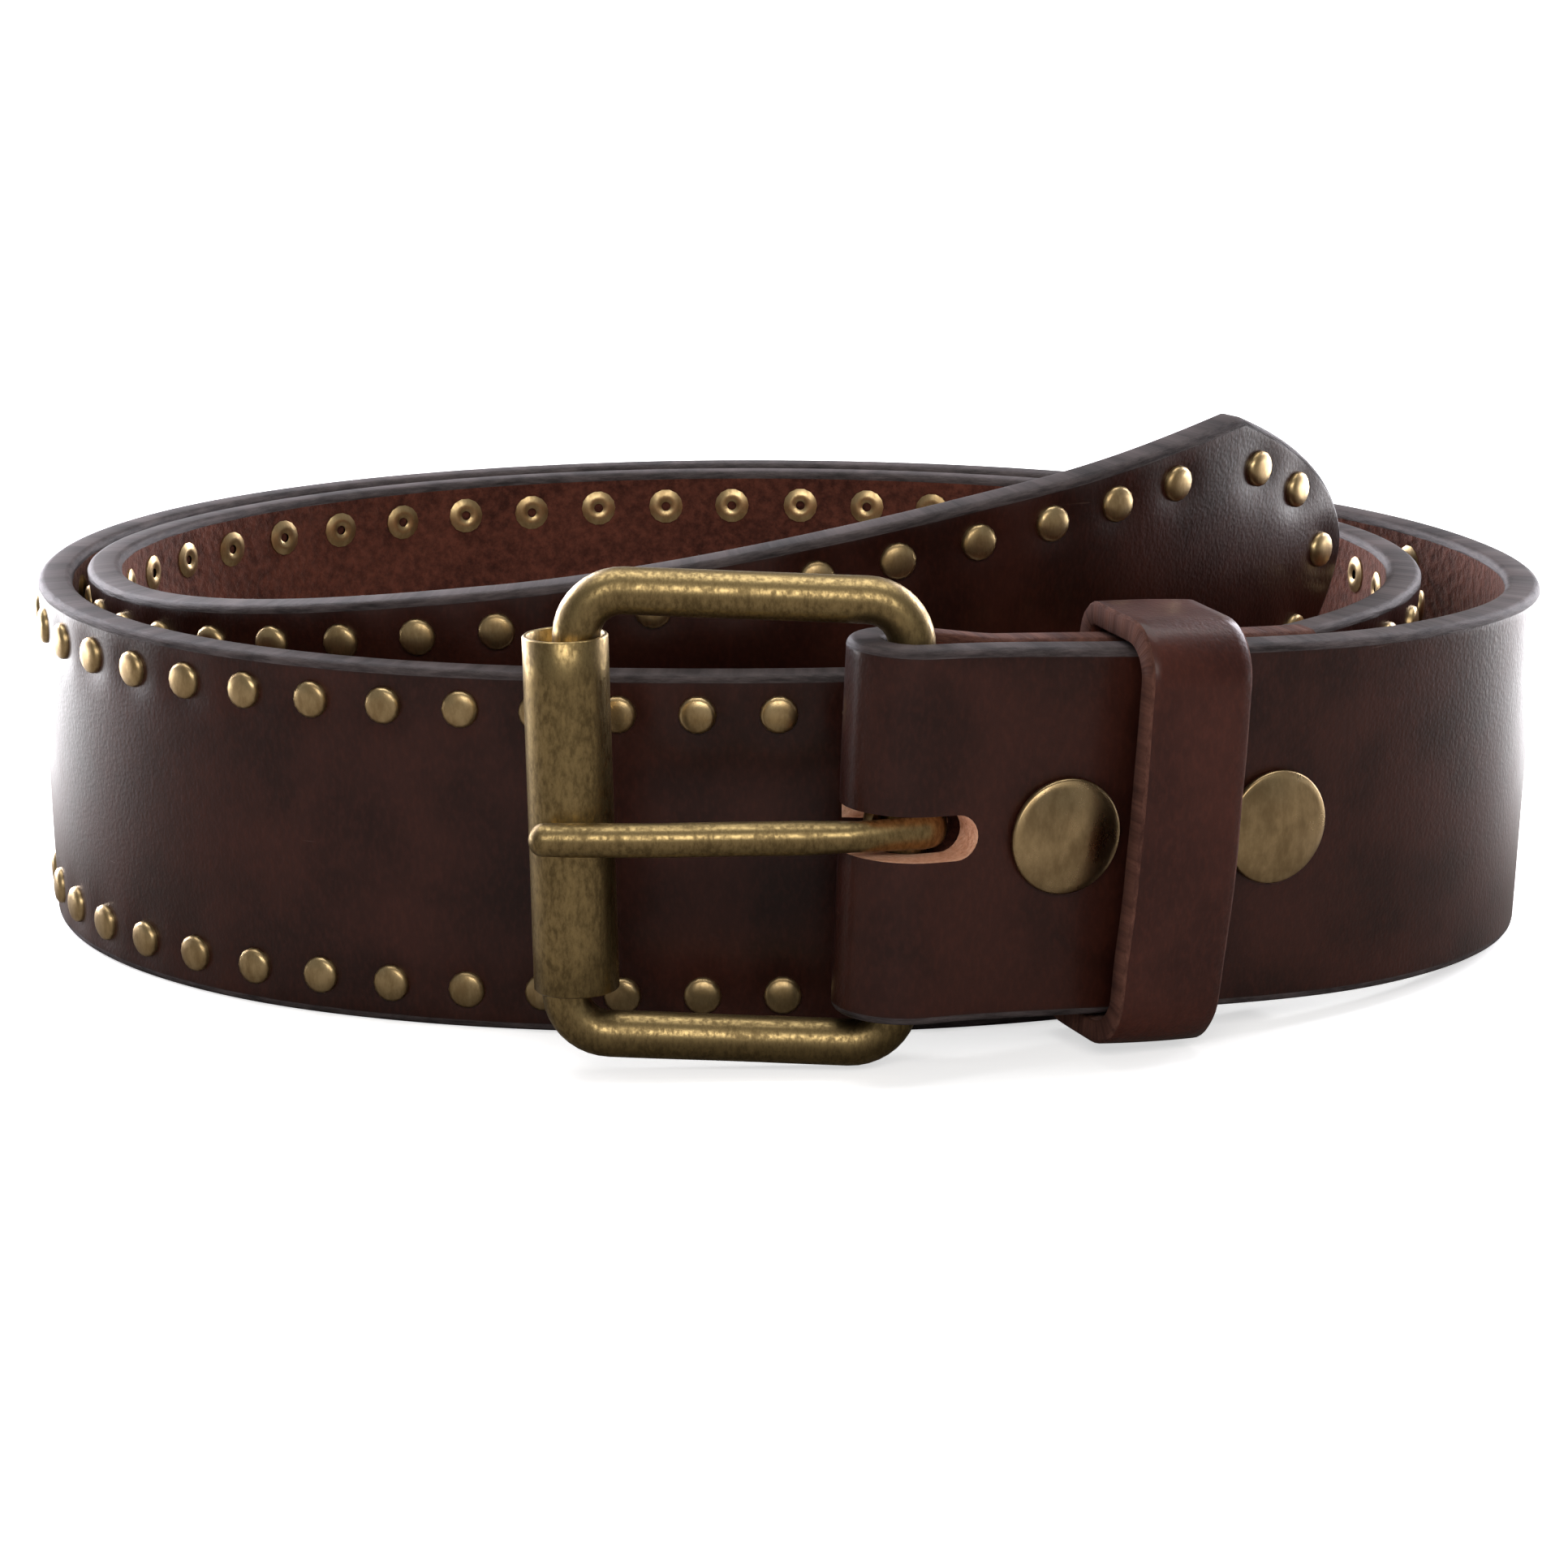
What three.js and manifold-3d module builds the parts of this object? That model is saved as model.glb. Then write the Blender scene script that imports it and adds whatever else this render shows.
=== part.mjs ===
// A studded leather belt, coiled a little over two turns and standing on its lower edge.
// Millimetres, +Z up. The origin is below the middle of the coil, on the surface it stands on.
// A place on the strap is given by its station (the length along the strap from where the coil line starts),
// its height across the strap from the lower edge, and its depth outwards from the leather's middle.
import * as THREE from "three";
import { mergeVertices } from "three/addons/utils/BufferGeometryUtils.js";
import Module from "manifold-3d";

// Strap
const STRAP_WIDTH = 40;
const LEATHER = 4; // thickness
const STRAP_LENGTH = 951; // station of the end of the point
const POINT_LENGTH = 19.5; // the shaped end
const POINT_FULLNESS = 8.5; // half width at which the point's curve turns square to the strap
const HEEL_STATION = 9.3; // where the strap folds round the heel bar
const FLAP_END = 56; // station that the end folded back behind the buckle reaches
const FOLD_RUN = 9.4; // how far past the heel bar's middle the two layers come together
const LAYER_GAP = 0.3;

// Coil: where the strap starts, which way it heads, and how fast it bends
const START = new THREE.Vector2(6.62, -72.38);
const START_HEADING = 29.8; // degrees from +X
const BEND_STEP = 45; // stations between the bends
// Degrees turned to the left in a step
const BENDS = [-22.8, 17.1, 60.4, 39.1, 24.8, 23.3, 27.9, 47.9, 52.1, 37.1, 14.2, 32.5, 57.3, 52, 24.6, 25.2,
  38.9, 67.7, 47.8, 20.8, 38.1, 10.7];
// How high the lower edge is carried, and how far the upper edge leans outwards in degrees
const LIFT = [[0, 6.9], [40, 4.1], [70, 2], [130, 0], [720, 0], [780, 0.7], [840, 6.5], [900, 15.8],
  [957, 21.8]];
const LEAN = [[0, 0], [40, 2.4], [100, 3.4], [170, 1.3], [300, 1.6], [430, 0], [500, 0], [560, 4.9], [600, 2.9],
  [957, 3.8]];
const STATION_STEP = 6.5;

// Holes
const ADJUSTING_HOLES = { count: 5, spacing: 25, fromEnd: 95, radius: 2.4 };
const SLOT = { height: 4.9, reach: 5.1 }; // reach is past the heel bar's middle

// Edge rivets, in pairs along the strap and five round the point
const RIVET_INSET = 4.4;
const RIVET_RUNS = [[137.8, 38], [462.4, 22], [651.2, 31]]; // station where each run starts, and its spaces
const LAST_RIVET_PAIR = 920.5;
const POINT_RIVETS = [[2.5, 13.2], [2.5, -13.2], [9.8, 8.6], [9.8, -8.6], [15.2, 0]]; // past the shoulder, up
const SOLID_PAIRS = 14; // pairs modelled as pieces: the ones nearest the point
const RIVET = { cap: 2, capRise: 0.7, post: 0.85, flange: 2.2, flangeThick: 0.35, hole: 1.3, gap: 0.35 };

// Press studs
const PRESS_STUDS = [24.4, 49.5]; // stations
const CAP_RADIUS = 6.35;
const CAP_RISE = 1.8;

// Buckle
const WIRE = 2.5; // radius of the frame's wire
const FRAME_REACH = 34.8; // heel bar to roller bar, centre to centre
const FRAME_HEIGHT = 47.6; // between the middles of the top and bottom bars
const FRAME_CORNER = 4.8; // radius of the wire's middle at a corner
const ROLLER = { outer: 4.5, inner: 3.95, length: 38, tilt: 3.6 };
const FOLD_CLEARANCE = 0.35; // between the heel bar and the leather round it
const PRONG_REST = 0.2; // between the prong and the roller
const PRONG = { radius: 1.8, eyeThick: 0.75, tipPast: 2.6, clearance: 0.3, droop: 1.4 };

// Keeper
const KEEPER = {
  station: 36, width: 12, thick: 2.6, spare: 0.6, front: 4.8, back: 7.15, frontCorner: 3.6, backCorner: 1,
};
const STAPLE = { wire: 0.35, span: 7, heights: [-7, 7], gap: 0.3 };

const DEG = Math.PI / 180;
const wasm = await Module();
wasm.setup();

const finish = (color, roughness, metalness) => new THREE.MeshStandardMaterial({ color, roughness, metalness });
const finishes = {
  strapLeather: finish(0x3a1a16, 0.42, 0),
  keeperLeather: finish(0x45201a, 0.45, 0),
  antiqueBrass: finish(0x8a7840, 0.38, 1),
  capBrass: finish(0x80703f, 0.35, 1),
  rivetBrass: finish(0x98794a, 0.3, 1),
  steel: finish(0xa8a8a4, 0.4, 1),
};

// A smooth curve through [station, value] knots, level at its two ends and at every high or low knot.
function knotCurve(knots) {
  const slope = knots.map(([s, v], i) => {
    if (i === 0 || i === knots.length - 1) return 0;
    const before = (v - knots[i - 1][1]) / (s - knots[i - 1][0]);
    const after = (knots[i + 1][1] - v) / (knots[i + 1][0] - s);
    return before * after > 0 ? (2 * before * after) / (before + after) : 0;
  });
  return (s) => {
    let i = 0;
    while (i < knots.length - 2 && s > knots[i + 1][0]) i++;
    const [s0, v0] = knots[i];
    const [s1, v1] = knots[i + 1];
    const t = THREE.MathUtils.clamp((s - s0) / (s1 - s0), 0, 1);
    const run = s1 - s0;
    const rise = v0 * (1 + 2 * t) * (1 - t) ** 2 + v1 * t * t * (3 - 2 * t);
    return rise + run * (slope[i] * t * (1 - t) ** 2 - slope[i + 1] * t * t * (1 - t));
  };
}

// The strap's middle line in plan, from one millimetre to the next, as x, y and heading.
function planLine() {
  const line = [{ x: START.x, y: START.y, heading: START_HEADING * DEG }];
  const bendAt = (s) => {
    const k = Math.min(Math.floor(s / BEND_STEP), BENDS.length - 2);
    return THREE.MathUtils.lerp(BENDS[k], BENDS[k + 1], s / BEND_STEP - k) * (DEG / BEND_STEP);
  };
  for (let s = 0; s < STRAP_LENGTH; s++) {
    const last = line[s];
    const heading = last.heading + (bendAt(s) + bendAt(s + 1)) / 2;
    const middle = (last.heading + heading) / 2;
    line.push({ x: last.x + Math.cos(middle), y: last.y + Math.sin(middle), heading });
  }
  return line;
}

const plan = planLine();
const liftAt = knotCurve(LIFT);
const leanAt = knotCurve(LEAN);

// The strap's own axes at a station: along it, outwards from the coil, and across it.
function axesAt(station) {
  const k = THREE.MathUtils.clamp(Math.floor(station), 0, plan.length - 2);
  const t = station - k;
  const [a, b] = [plan[k], plan[k + 1]];
  const heading = THREE.MathUtils.lerp(a.heading, b.heading, t);
  const climb = Math.atan(liftAt(station + 0.5) - liftAt(station - 0.5));
  const lean = leanAt(station) * DEG;
  const level = new THREE.Vector3(Math.cos(heading), Math.sin(heading), 0);
  const side = new THREE.Vector3(Math.sin(heading), -Math.cos(heading), 0);
  const up = new THREE.Vector3(0, 0, Math.cos(climb)).addScaledVector(level, -Math.sin(climb));
  const along = level.clone().multiplyScalar(Math.cos(climb)).setZ(Math.sin(climb));
  const out = side.clone().multiplyScalar(Math.cos(lean)).addScaledVector(up, -Math.sin(lean));
  const across = up.clone().multiplyScalar(Math.cos(lean)).addScaledVector(side, Math.sin(lean));
  const drop = (STRAP_WIDTH / 2) * Math.cos(lean) * Math.cos(climb) + (LEATHER / 2) * Math.abs(Math.sin(lean));
  const middle = new THREE.Vector3(
    THREE.MathUtils.lerp(a.x, b.x, t),
    THREE.MathUtils.lerp(a.y, b.y, t),
    liftAt(station) + drop,
  );
  return { middle, along, out, across };
}

// A point beside the middle of a section: outwards and across.
function offset(axes, outwards, across) {
  return axes.middle.clone().addScaledVector(axes.out, outwards).addScaledVector(axes.across, across);
}

// A matrix that puts a piece turned about +Z on the strap, its +Z pointing outwards.
function seatAt(axes, across = 0) {
  const place = offset(axes, 0, across);
  return new THREE.Matrix4().makeBasis(axes.along, axes.across, axes.out).setPosition(place);
}

// Rings of points joined into one closed skin, with flat ends.
function skin(rings) {
  const sides = rings[0].length;
  const positions = rings.flat().flatMap((p) => [p.x, p.y, p.z]);
  const index = [];
  for (let r = 0; r < rings.length - 1; r++) {
    for (let i = 0; i < sides; i++) {
      const j = (i + 1) % sides;
      const [a, b] = [r * sides + i, r * sides + j];
      index.push(a, b, b + sides, a, b + sides, a + sides);
    }
  }
  const end = (rings.length - 1) * sides;
  for (let i = 1; i < sides - 1; i++) index.push(0, i + 1, i, end, end + i, end + i + 1);
  const geometry = new THREE.BufferGeometry();
  geometry.setAttribute("position", new THREE.Float32BufferAttribute(positions, 3));
  geometry.setIndex(index);
  return geometry;
}

// A round or flattened wire through places that each have a centre and two radius vectors.
function wire(places, sides) {
  const rings = places.map(({ centre, u, v }) =>
    Array.from({ length: sides }, (_, i) => {
      const a = (2 * Math.PI * i) / sides;
      return centre.clone().addScaledVector(u, Math.cos(a)).addScaledVector(v, Math.sin(a));
    }),
  );
  return skin(rings);
}

function toSolid(geometry) {
  const bare = geometry.clone();
  bare.deleteAttribute("normal");
  bare.deleteAttribute("uv");
  const merged = mergeVertices(bare, 1e-4);
  return new wasm.Manifold(
    new wasm.Mesh({
      numProp: 3,
      vertProperties: merged.attributes.position.array,
      triVerts: new Uint32Array(merged.index.array),
    }),
  );
}

function toGeometry(solid) {
  const mesh = solid.getMesh();
  const geometry = new THREE.BufferGeometry();
  geometry.setAttribute("position", new THREE.BufferAttribute(new Float32Array(mesh.vertProperties), 3));
  geometry.setIndex(new THREE.BufferAttribute(new Uint32Array(mesh.triVerts), 1));
  return geometry;
}

// A closed turning about +Z from [radius, height] points.
function turned(profile, sides) {
  const points = profile.map(([radius, height]) => new THREE.Vector2(radius, height));
  return new THREE.LatheGeometry(points, sides).rotateX(Math.PI / 2);
}

const group = new THREE.Group();

function add(name, geometry, material) {
  const mesh = new THREE.Mesh(geometry, material);
  mesh.name = name;
  group.add(mesh);
  return mesh;
}

// Half the strap's width at a station: full, then the curve of the point.
function halfWidthAt(station) {
  const past = (station - (STRAP_LENGTH - POINT_LENGTH)) / POINT_LENGTH;
  if (past <= 0) return STRAP_WIDTH / 2;
  const t = 1 - Math.sqrt(Math.max(0, 1 - past));
  return (STRAP_WIDTH / 2) * (1 - t) ** 2 + 2 * POINT_FULLNESS * t * (1 - t);
}

// How far the flap's middle lies behind the strap's middle.
function flapDepth(station) {
  const wide = LEATHER + 2 * (WIRE + FOLD_CLEARANCE);
  const close = LEATHER + LAYER_GAP;
  return close + (wide - close) * (1 - THREE.MathUtils.smoothstep(station, HEEL_STATION, HEEL_STATION + FOLD_RUN));
}

const foldAxes = axesAt(HEEL_STATION);
const foldRadius = WIRE + FOLD_CLEARANCE + LEATHER / 2;
const heel = offset(foldAxes, -foldRadius, 0); // the heel bar's middle

// The strap: flap, fold round the heel bar, and the long run to the point.
function strapBlank() {
  const rings = [];
  const half = LEATHER / 2;
  const addRing = (axes, depth, outSign, halfWidth) => {
    const near = depth + outSign * half;
    const far = depth - outSign * half;
    rings.push([offset(axes, near, -halfWidth), offset(axes, far, -halfWidth),
      offset(axes, far, halfWidth), offset(axes, near, halfWidth)]);
  };
  const closed = HEEL_STATION + FOLD_RUN;
  const flapStations = [0.35, 0.7].map((share) => HEEL_STATION + FOLD_RUN * share);
  const flapSteps = Math.round((FLAP_END - closed) / STATION_STEP);
  for (let i = 0; i <= flapSteps; i++) flapStations.push(THREE.MathUtils.lerp(closed, FLAP_END, i / flapSteps));
  for (const station of flapStations.reverse()) {
    addRing(axesAt(station), -flapDepth(station), -1, STRAP_WIDTH / 2);
  }
  const foldSteps = 8;
  for (let i = 0; i <= foldSteps; i++) {
    const turn = Math.PI * (1 - i / foldSteps);
    const out = foldAxes.out.clone().multiplyScalar(Math.cos(turn));
    out.addScaledVector(foldAxes.along, -Math.sin(turn));
    addRing({ middle: heel, out, across: foldAxes.across }, foldRadius, 1, STRAP_WIDTH / 2);
  }
  const shoulder = STRAP_LENGTH - POINT_LENGTH;
  const runSteps = Math.round((shoulder - HEEL_STATION) / STATION_STEP);
  for (let i = 1; i <= runSteps; i++) {
    addRing(axesAt(THREE.MathUtils.lerp(HEEL_STATION, shoulder, i / runSteps)), 0, 1, STRAP_WIDTH / 2);
  }
  for (const share of [0.2, 0.4, 0.6, 0.75, 0.88, 0.96, 0.995]) {
    const station = shoulder + POINT_LENGTH * share;
    addRing(axesAt(station), 0, 1, halfWidthAt(station));
  }
  return skin(rings);
}

function holeCutter(station, across, radius, from, to, sides) {
  const cutter = new THREE.CylinderGeometry(radius, radius, to - from, sides).rotateX(Math.PI / 2);
  cutter.translate(0, 0, (from + to) / 2);
  return cutter.applyMatrix4(seatAt(axesAt(station), across));
}

// The prong's slot: a round-ended opening through both layers, open at the fold.
function slotCutter() {
  const r = SLOT.height / 2;
  const outline = new THREE.Shape();
  outline.moveTo(-14, -r);
  outline.lineTo(SLOT.reach - r, -r);
  outline.absarc(SLOT.reach - r, 0, r, -Math.PI / 2, Math.PI / 2, false);
  outline.lineTo(-14, r);
  const depth = 2 * foldRadius + LEATHER + 6;
  const cutter = new THREE.ExtrudeGeometry(outline, { depth, bevelEnabled: false, curveSegments: 8 });
  cutter.translate(0, 0, -depth / 2);
  const turn = new THREE.Matrix4().makeBasis(foldAxes.along, foldAxes.across, foldAxes.out);
  return cutter.applyMatrix4(turn.setPosition(heel));
}

function rivetStations() {
  const ends = [...RIVET_RUNS.slice(1).map(([station]) => station), LAST_RIVET_PAIR];
  const stations = RIVET_RUNS.flatMap(([from, spaces], run) =>
    Array.from({ length: spaces }, (_, i) => from + ((ends[run] - from) * i) / spaces),
  );
  return [...stations, LAST_RIVET_PAIR];
}

// The places of the rivets that are modelled as pieces, as station and height off the centre.
function solidRivetPlaces() {
  const row = STRAP_WIDTH / 2 - RIVET_INSET;
  const pairs = rivetStations().slice(-SOLID_PAIRS).flatMap((station) => [[station, row], [station, -row]]);
  const shoulder = STRAP_LENGTH - POINT_LENGTH;
  const round = POINT_RIVETS.map(([past, across]) => [shoulder + past, across]);
  return [...pairs, ...round];
}

function buildStrap(rivets) {
  let strap = toSolid(strapBlank());
  const cut = (geometry) => {
    strap = strap.subtract(toSolid(geometry));
  };
  cut(slotCutter());
  for (const station of PRESS_STUDS) {
    cut(holeCutter(station, 0, 2, -3, 5, 12));
    cut(holeCutter(station, 0, 4.6, -8, -2.15, 16));
  }
  for (let i = 0; i < ADJUSTING_HOLES.count; i++) {
    const station = STRAP_LENGTH - ADJUSTING_HOLES.fromEnd - i * ADJUSTING_HOLES.spacing;
    cut(holeCutter(station, 0, ADJUSTING_HOLES.radius, -5, 5, 16));
  }
  for (const [station, across] of rivets) cut(holeCutter(station, across, RIVET.hole, -5, 5, 6));
  add("strap", toGeometry(strap), finishes.strapLeather);
}

function buildRivets(rivets) {
  const face = LEATHER / 2 + RIVET.gap;
  const top = face + RIVET.capRise;
  const back = -face - RIVET.flangeThick;
  const profile = [[0, back], [RIVET.flange, back], [RIVET.flange, -face], [RIVET.post, -face],
    [RIVET.post, face], [RIVET.cap, face], [RIVET.cap * 0.7, top - 0.3], [0, top]];
  rivets.forEach(([station, across], i) => {
    const piece = turned(profile, 7).applyMatrix4(seatAt(axesAt(station), across));
    add(`rivet_${String(i + 1).padStart(2, "0")}`, piece, finishes.rivetBrass);
  });
}

function buildPressStud(station, label) {
  const seat = seatAt(axesAt(station));
  const face = LEATHER / 2 + LAYER_GAP;
  const cap = [[0, -2.75], [1.6, -2.75], [1.6, face], [CAP_RADIUS, face], [CAP_RADIUS, face + 0.35],
    [CAP_RADIUS * 0.9, face + 0.9], [CAP_RADIUS * 0.55, face + 1.5], [0, face + CAP_RISE]];
  const socket = [[1.9, -2.5], [1.9, -2.9], [2.75, -2.9], [2.75, -4.3], [4.2, -4.3], [4.2, -2.5], [1.9, -2.5]];
  const stud = [[0, -5.2], [4.2, -5.2], [4.2, -4.6], [2.1, -4.6], [2.1, -4.1], [2.4, -3.6], [2.2, -3.1],
    [0, -3.1]];
  const eyelet = [[0, -6.85], [5.6, -6.85], [5.6, -6.55], [3.9, -6.55], [3.9, -5.5], [0, -5.5]];
  add(`press_cap_${label}`, turned(cap, 24).applyMatrix4(seat), finishes.capBrass);
  add(`press_socket_${label}`, turned(socket, 16).applyMatrix4(seat), finishes.capBrass);
  add(`press_stud_${label}`, turned(stud, 16).applyMatrix4(seat), finishes.capBrass);
  add(`press_eyelet_${label}`, turned(eyelet, 16).applyMatrix4(seat), finishes.capBrass);
}

// The buckle's axes: reach runs from the heel bar to the roller bar, front faces outwards.
const buckleUp = foldAxes.across.clone();
const buckleReach = new THREE.Vector3(-1, 0, 0).addScaledVector(buckleUp, buckleUp.x).normalize();
const buckleFront = new THREE.Vector3().crossVectors(buckleUp, buckleReach).negate().normalize();
if (buckleFront.y > 0) buckleFront.negate();

function bucklePoint(reach, up, front) {
  return heel
    .clone()
    .addScaledVector(buckleReach, reach)
    .addScaledVector(buckleUp, up)
    .addScaledVector(buckleFront, front);
}

// The frame: one bent wire, its two ends butted inside the roller.
function buildFrame() {
  const high = FRAME_HEIGHT / 2;
  const butt = 0.3;
  const corners = [[FRAME_REACH, high], [0, high], [0, -high], [FRAME_REACH, -high]];
  const directions = [[0, 1], [-1, 0], [0, -1], [1, 0], [0, 1]];
  const places = [];
  const addPlace = (reach, up, [dx, dy]) => {
    const u = bucklePoint(dy, -dx, 0).sub(heel).multiplyScalar(WIRE);
    places.push({ centre: bucklePoint(reach, up, 0), u, v: buckleFront.clone().multiplyScalar(WIRE) });
  };
  addPlace(FRAME_REACH, butt, directions[0]);
  corners.forEach(([reach, up], i) => {
    const [from, to] = [directions[i], directions[i + 1]];
    const centre = [reach + (to[0] - from[0]) * FRAME_CORNER, up + (to[1] - from[1]) * FRAME_CORNER];
    const steps = 5;
    for (let k = 0; k <= steps; k++) {
      const a = ((Math.PI / 2) * k) / steps;
      const [c, s] = [Math.cos(a) * FRAME_CORNER, Math.sin(a) * FRAME_CORNER];
      const heading = [0, 1].map((k) => from[k] * Math.cos(a) + to[k] * Math.sin(a));
      addPlace(centre[0] - to[0] * c + from[0] * s, centre[1] - to[1] * c + from[1] * s, heading);
    }
  });
  addPlace(FRAME_REACH, -butt, directions[4]);
  add("buckle_frame", wire(places, 12), finishes.antiqueBrass);
}

// The roller: a loose tube on the far bar, hanging a little askew.
function buildRoller() {
  const { outer, inner, length, tilt } = ROLLER;
  const half = length / 2;
  const ring = [[inner, -half], [outer, -half], [outer, half], [inner, half], [inner, -half]];
  const up = buckleUp.clone().applyAxisAngle(buckleFront, tilt * DEG);
  const side = new THREE.Vector3().crossVectors(up, buckleFront);
  const seat = new THREE.Matrix4().makeBasis(buckleFront, side, up).setPosition(bucklePoint(FRAME_REACH, 0, 0));
  add("roller", turned(ring, 24).applyMatrix4(seat), finishes.antiqueBrass);
}

// The prong: its flattened tail wraps the heel bar, and its tip rests on the roller, a little low.
function buildProng() {
  const { radius, eyeThick, tipPast, clearance, droop } = PRONG;
  const rest = ROLLER.outer + PRONG_REST + radius;
  const places = [];
  const eyeSteps = 12;
  for (let i = 0; i <= eyeSteps; i++) {
    const a = THREE.MathUtils.lerp(215, -65, i / eyeSteps) * DEG; // from the tail, round the back, to the front
    const thick = eyeThick * (1 + (0.2 * i) / eyeSteps);
    const ray = bucklePoint(-Math.cos(a), 0, -Math.sin(a)).sub(heel);
    const centre = heel.clone().addScaledVector(ray, WIRE + clearance + thick);
    places.push({ centre, u: ray.multiplyScalar(thick), v: buckleUp.clone().multiplyScalar(radius) });
  }
  const end = FRAME_REACH + tipPast;
  // Along the shank: reach, how far in front of the bar's middle, and its share of the full radius
  const shank = [[5, 5.3, 0.9], [10, 5.8, 1], [18, rest - 0.35, 1], [27, rest + 0.15, 1],
    [FRAME_REACH, rest, 1], [end, rest - 0.15, 0.92], [end + 1.1, rest - 0.2, 0.6],
    [end + 1.45, rest - 0.22, 0.15]];
  shank.forEach(([reach, front, share], i) => {
    const before = shank[Math.max(i - 1, 0)];
    const after = shank[Math.min(i + 1, shank.length - 1)];
    const rise = Math.atan2(after[1] - before[1], after[0] - before[0]);
    places.push({
      centre: bucklePoint(reach, (-droop * reach) / FRAME_REACH, front),
      u: bucklePoint(-Math.sin(rise), 0, Math.cos(rise)).sub(heel).multiplyScalar(radius * share),
      v: buckleUp.clone().multiplyScalar(radius * share),
    });
  });
  add("prong", wire(places, 10), finishes.antiqueBrass);
}

// The keeper: a leather band round both layers of the strap, its ends stapled behind.
function keeperOutline(grow) {
  const { spare, front, back, frontCorner, backCorner } = KEEPER;
  const high = STRAP_WIDTH / 2 + spare + grow;
  const [behind, ahead] = [-back - grow, front + grow];
  const [r, q] = [frontCorner + grow, backCorner + grow];
  const quarter = Math.PI / 2;
  const shape = new THREE.Shape();
  shape.moveTo(behind + q, -high);
  shape.absarc(ahead - r, r - high, r, -quarter, 0, false);
  shape.absarc(ahead - r, high - r, r, 0, quarter, false);
  shape.absarc(behind + q, high - q, q, quarter, 2 * quarter, false);
  shape.absarc(behind + q, q - high, q, 2 * quarter, 3 * quarter, false);
  return shape;
}

function buildKeeper() {
  const axes = axesAt(KEEPER.station);
  const { width, thick } = KEEPER;
  const band = keeperOutline(thick);
  band.holes.push(keeperOutline(0));
  const ring = new THREE.ExtrudeGeometry(band, { depth: width, bevelEnabled: false, curveSegments: 6 });
  ring.translate(0, 0, -width / 2);
  const seat = new THREE.Matrix4().makeBasis(axes.out, axes.across, axes.along.clone().negate());
  let keeper = toSolid(ring.applyMatrix4(seat.setPosition(axes.middle)));
  const behind = -KEEPER.back - thick;
  const slitWidth = 2 * (STAPLE.wire + STAPLE.gap);
  for (const across of STAPLE.heights) {
    for (const side of [-0.5, 0.5]) {
      const slit = new THREE.BoxGeometry(slitWidth, slitWidth, thick + 2);
      slit.translate(0, side * STAPLE.span, behind + thick / 2);
      keeper = keeper.subtract(toSolid(slit.applyMatrix4(seatAt(axes, across))));
    }
  }
  add("keeper_loop", toGeometry(keeper), finishes.keeperLeather);
  STAPLE.heights.forEach((across, i) => {
    add(`keeper_staple_${i + 1}`, staple(behind, thick).applyMatrix4(seatAt(axes, across)), finishes.steel);
  });
}

// A staple lying across the strap: a square wire with its crown behind the band and its legs in it.
function staple(behind, thick) {
  const w = STAPLE.wire;
  const half = STAPLE.span / 2;
  const crown = behind - STAPLE.gap - w;
  const foot = behind + thick - 0.1;
  const route = [[-half, foot, -90], [-half, crown, -45], [half, crown, 45], [half, foot, 90]];
  const places = route.map(([y, z, degrees], k) => {
    const stretch = k === 1 || k === 2 ? w * Math.SQRT2 : w;
    const [dy, dz] = [Math.cos(degrees * DEG), Math.sin(degrees * DEG)];
    return {
      centre: new THREE.Vector3(0, y, z),
      u: new THREE.Vector3(0, -dz * stretch, dy * stretch),
      v: new THREE.Vector3(w, 0, 0),
    };
  });
  return wire(places, 4);
}

const rivets = solidRivetPlaces();
buildStrap(rivets);
buildRivets(rivets);
PRESS_STUDS.forEach((station, i) => buildPressStud(station, i + 1));
buildFrame();
buildRoller();
buildProng();
buildKeeper();

export default group;
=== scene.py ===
"""A studded leather belt, rolled up a little over two turns and standing on its lower edge.

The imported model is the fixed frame: every piece is built in its space, in metres, +Z up. The strap, its edge
rivets, press studs, roller buckle and keeper are each a class that holds its sizes, builds its meshes and
dresses them. A place on the strap is a station (the length along its line), a distance across the strap
from its middle and a distance outwards from the middle of the leather.
"""

import logging
import math
from dataclasses import dataclass, field
from enum import Enum
from typing import Iterable, Optional, Sequence

import bmesh
import bpy
import numpy as np
from mathutils import Matrix, Vector, noise


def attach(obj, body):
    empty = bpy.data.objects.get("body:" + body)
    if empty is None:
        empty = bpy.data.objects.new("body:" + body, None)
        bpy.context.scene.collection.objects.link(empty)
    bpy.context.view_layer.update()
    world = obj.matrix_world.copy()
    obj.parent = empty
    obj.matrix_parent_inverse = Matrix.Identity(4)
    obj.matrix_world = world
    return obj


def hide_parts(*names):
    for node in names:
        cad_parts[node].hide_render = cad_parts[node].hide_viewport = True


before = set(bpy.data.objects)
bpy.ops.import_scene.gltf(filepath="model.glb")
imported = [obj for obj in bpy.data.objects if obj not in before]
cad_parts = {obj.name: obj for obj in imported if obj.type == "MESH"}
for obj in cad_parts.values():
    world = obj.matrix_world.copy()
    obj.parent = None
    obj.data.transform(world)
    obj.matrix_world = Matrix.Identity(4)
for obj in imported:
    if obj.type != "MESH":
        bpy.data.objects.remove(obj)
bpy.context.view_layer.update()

LOG = logging.getLogger("belt")
MM = 0.001
RGB = tuple[float, float, float]


class Body(Enum):
    """The CAD bodies that pieces ride on."""

    STRAP = "strap_body"
    BUCKLE = "buckle"
    PRONG = "prong_body"
    ROLLER = "roller_body"
    KEEPER = "keeper"


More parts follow.
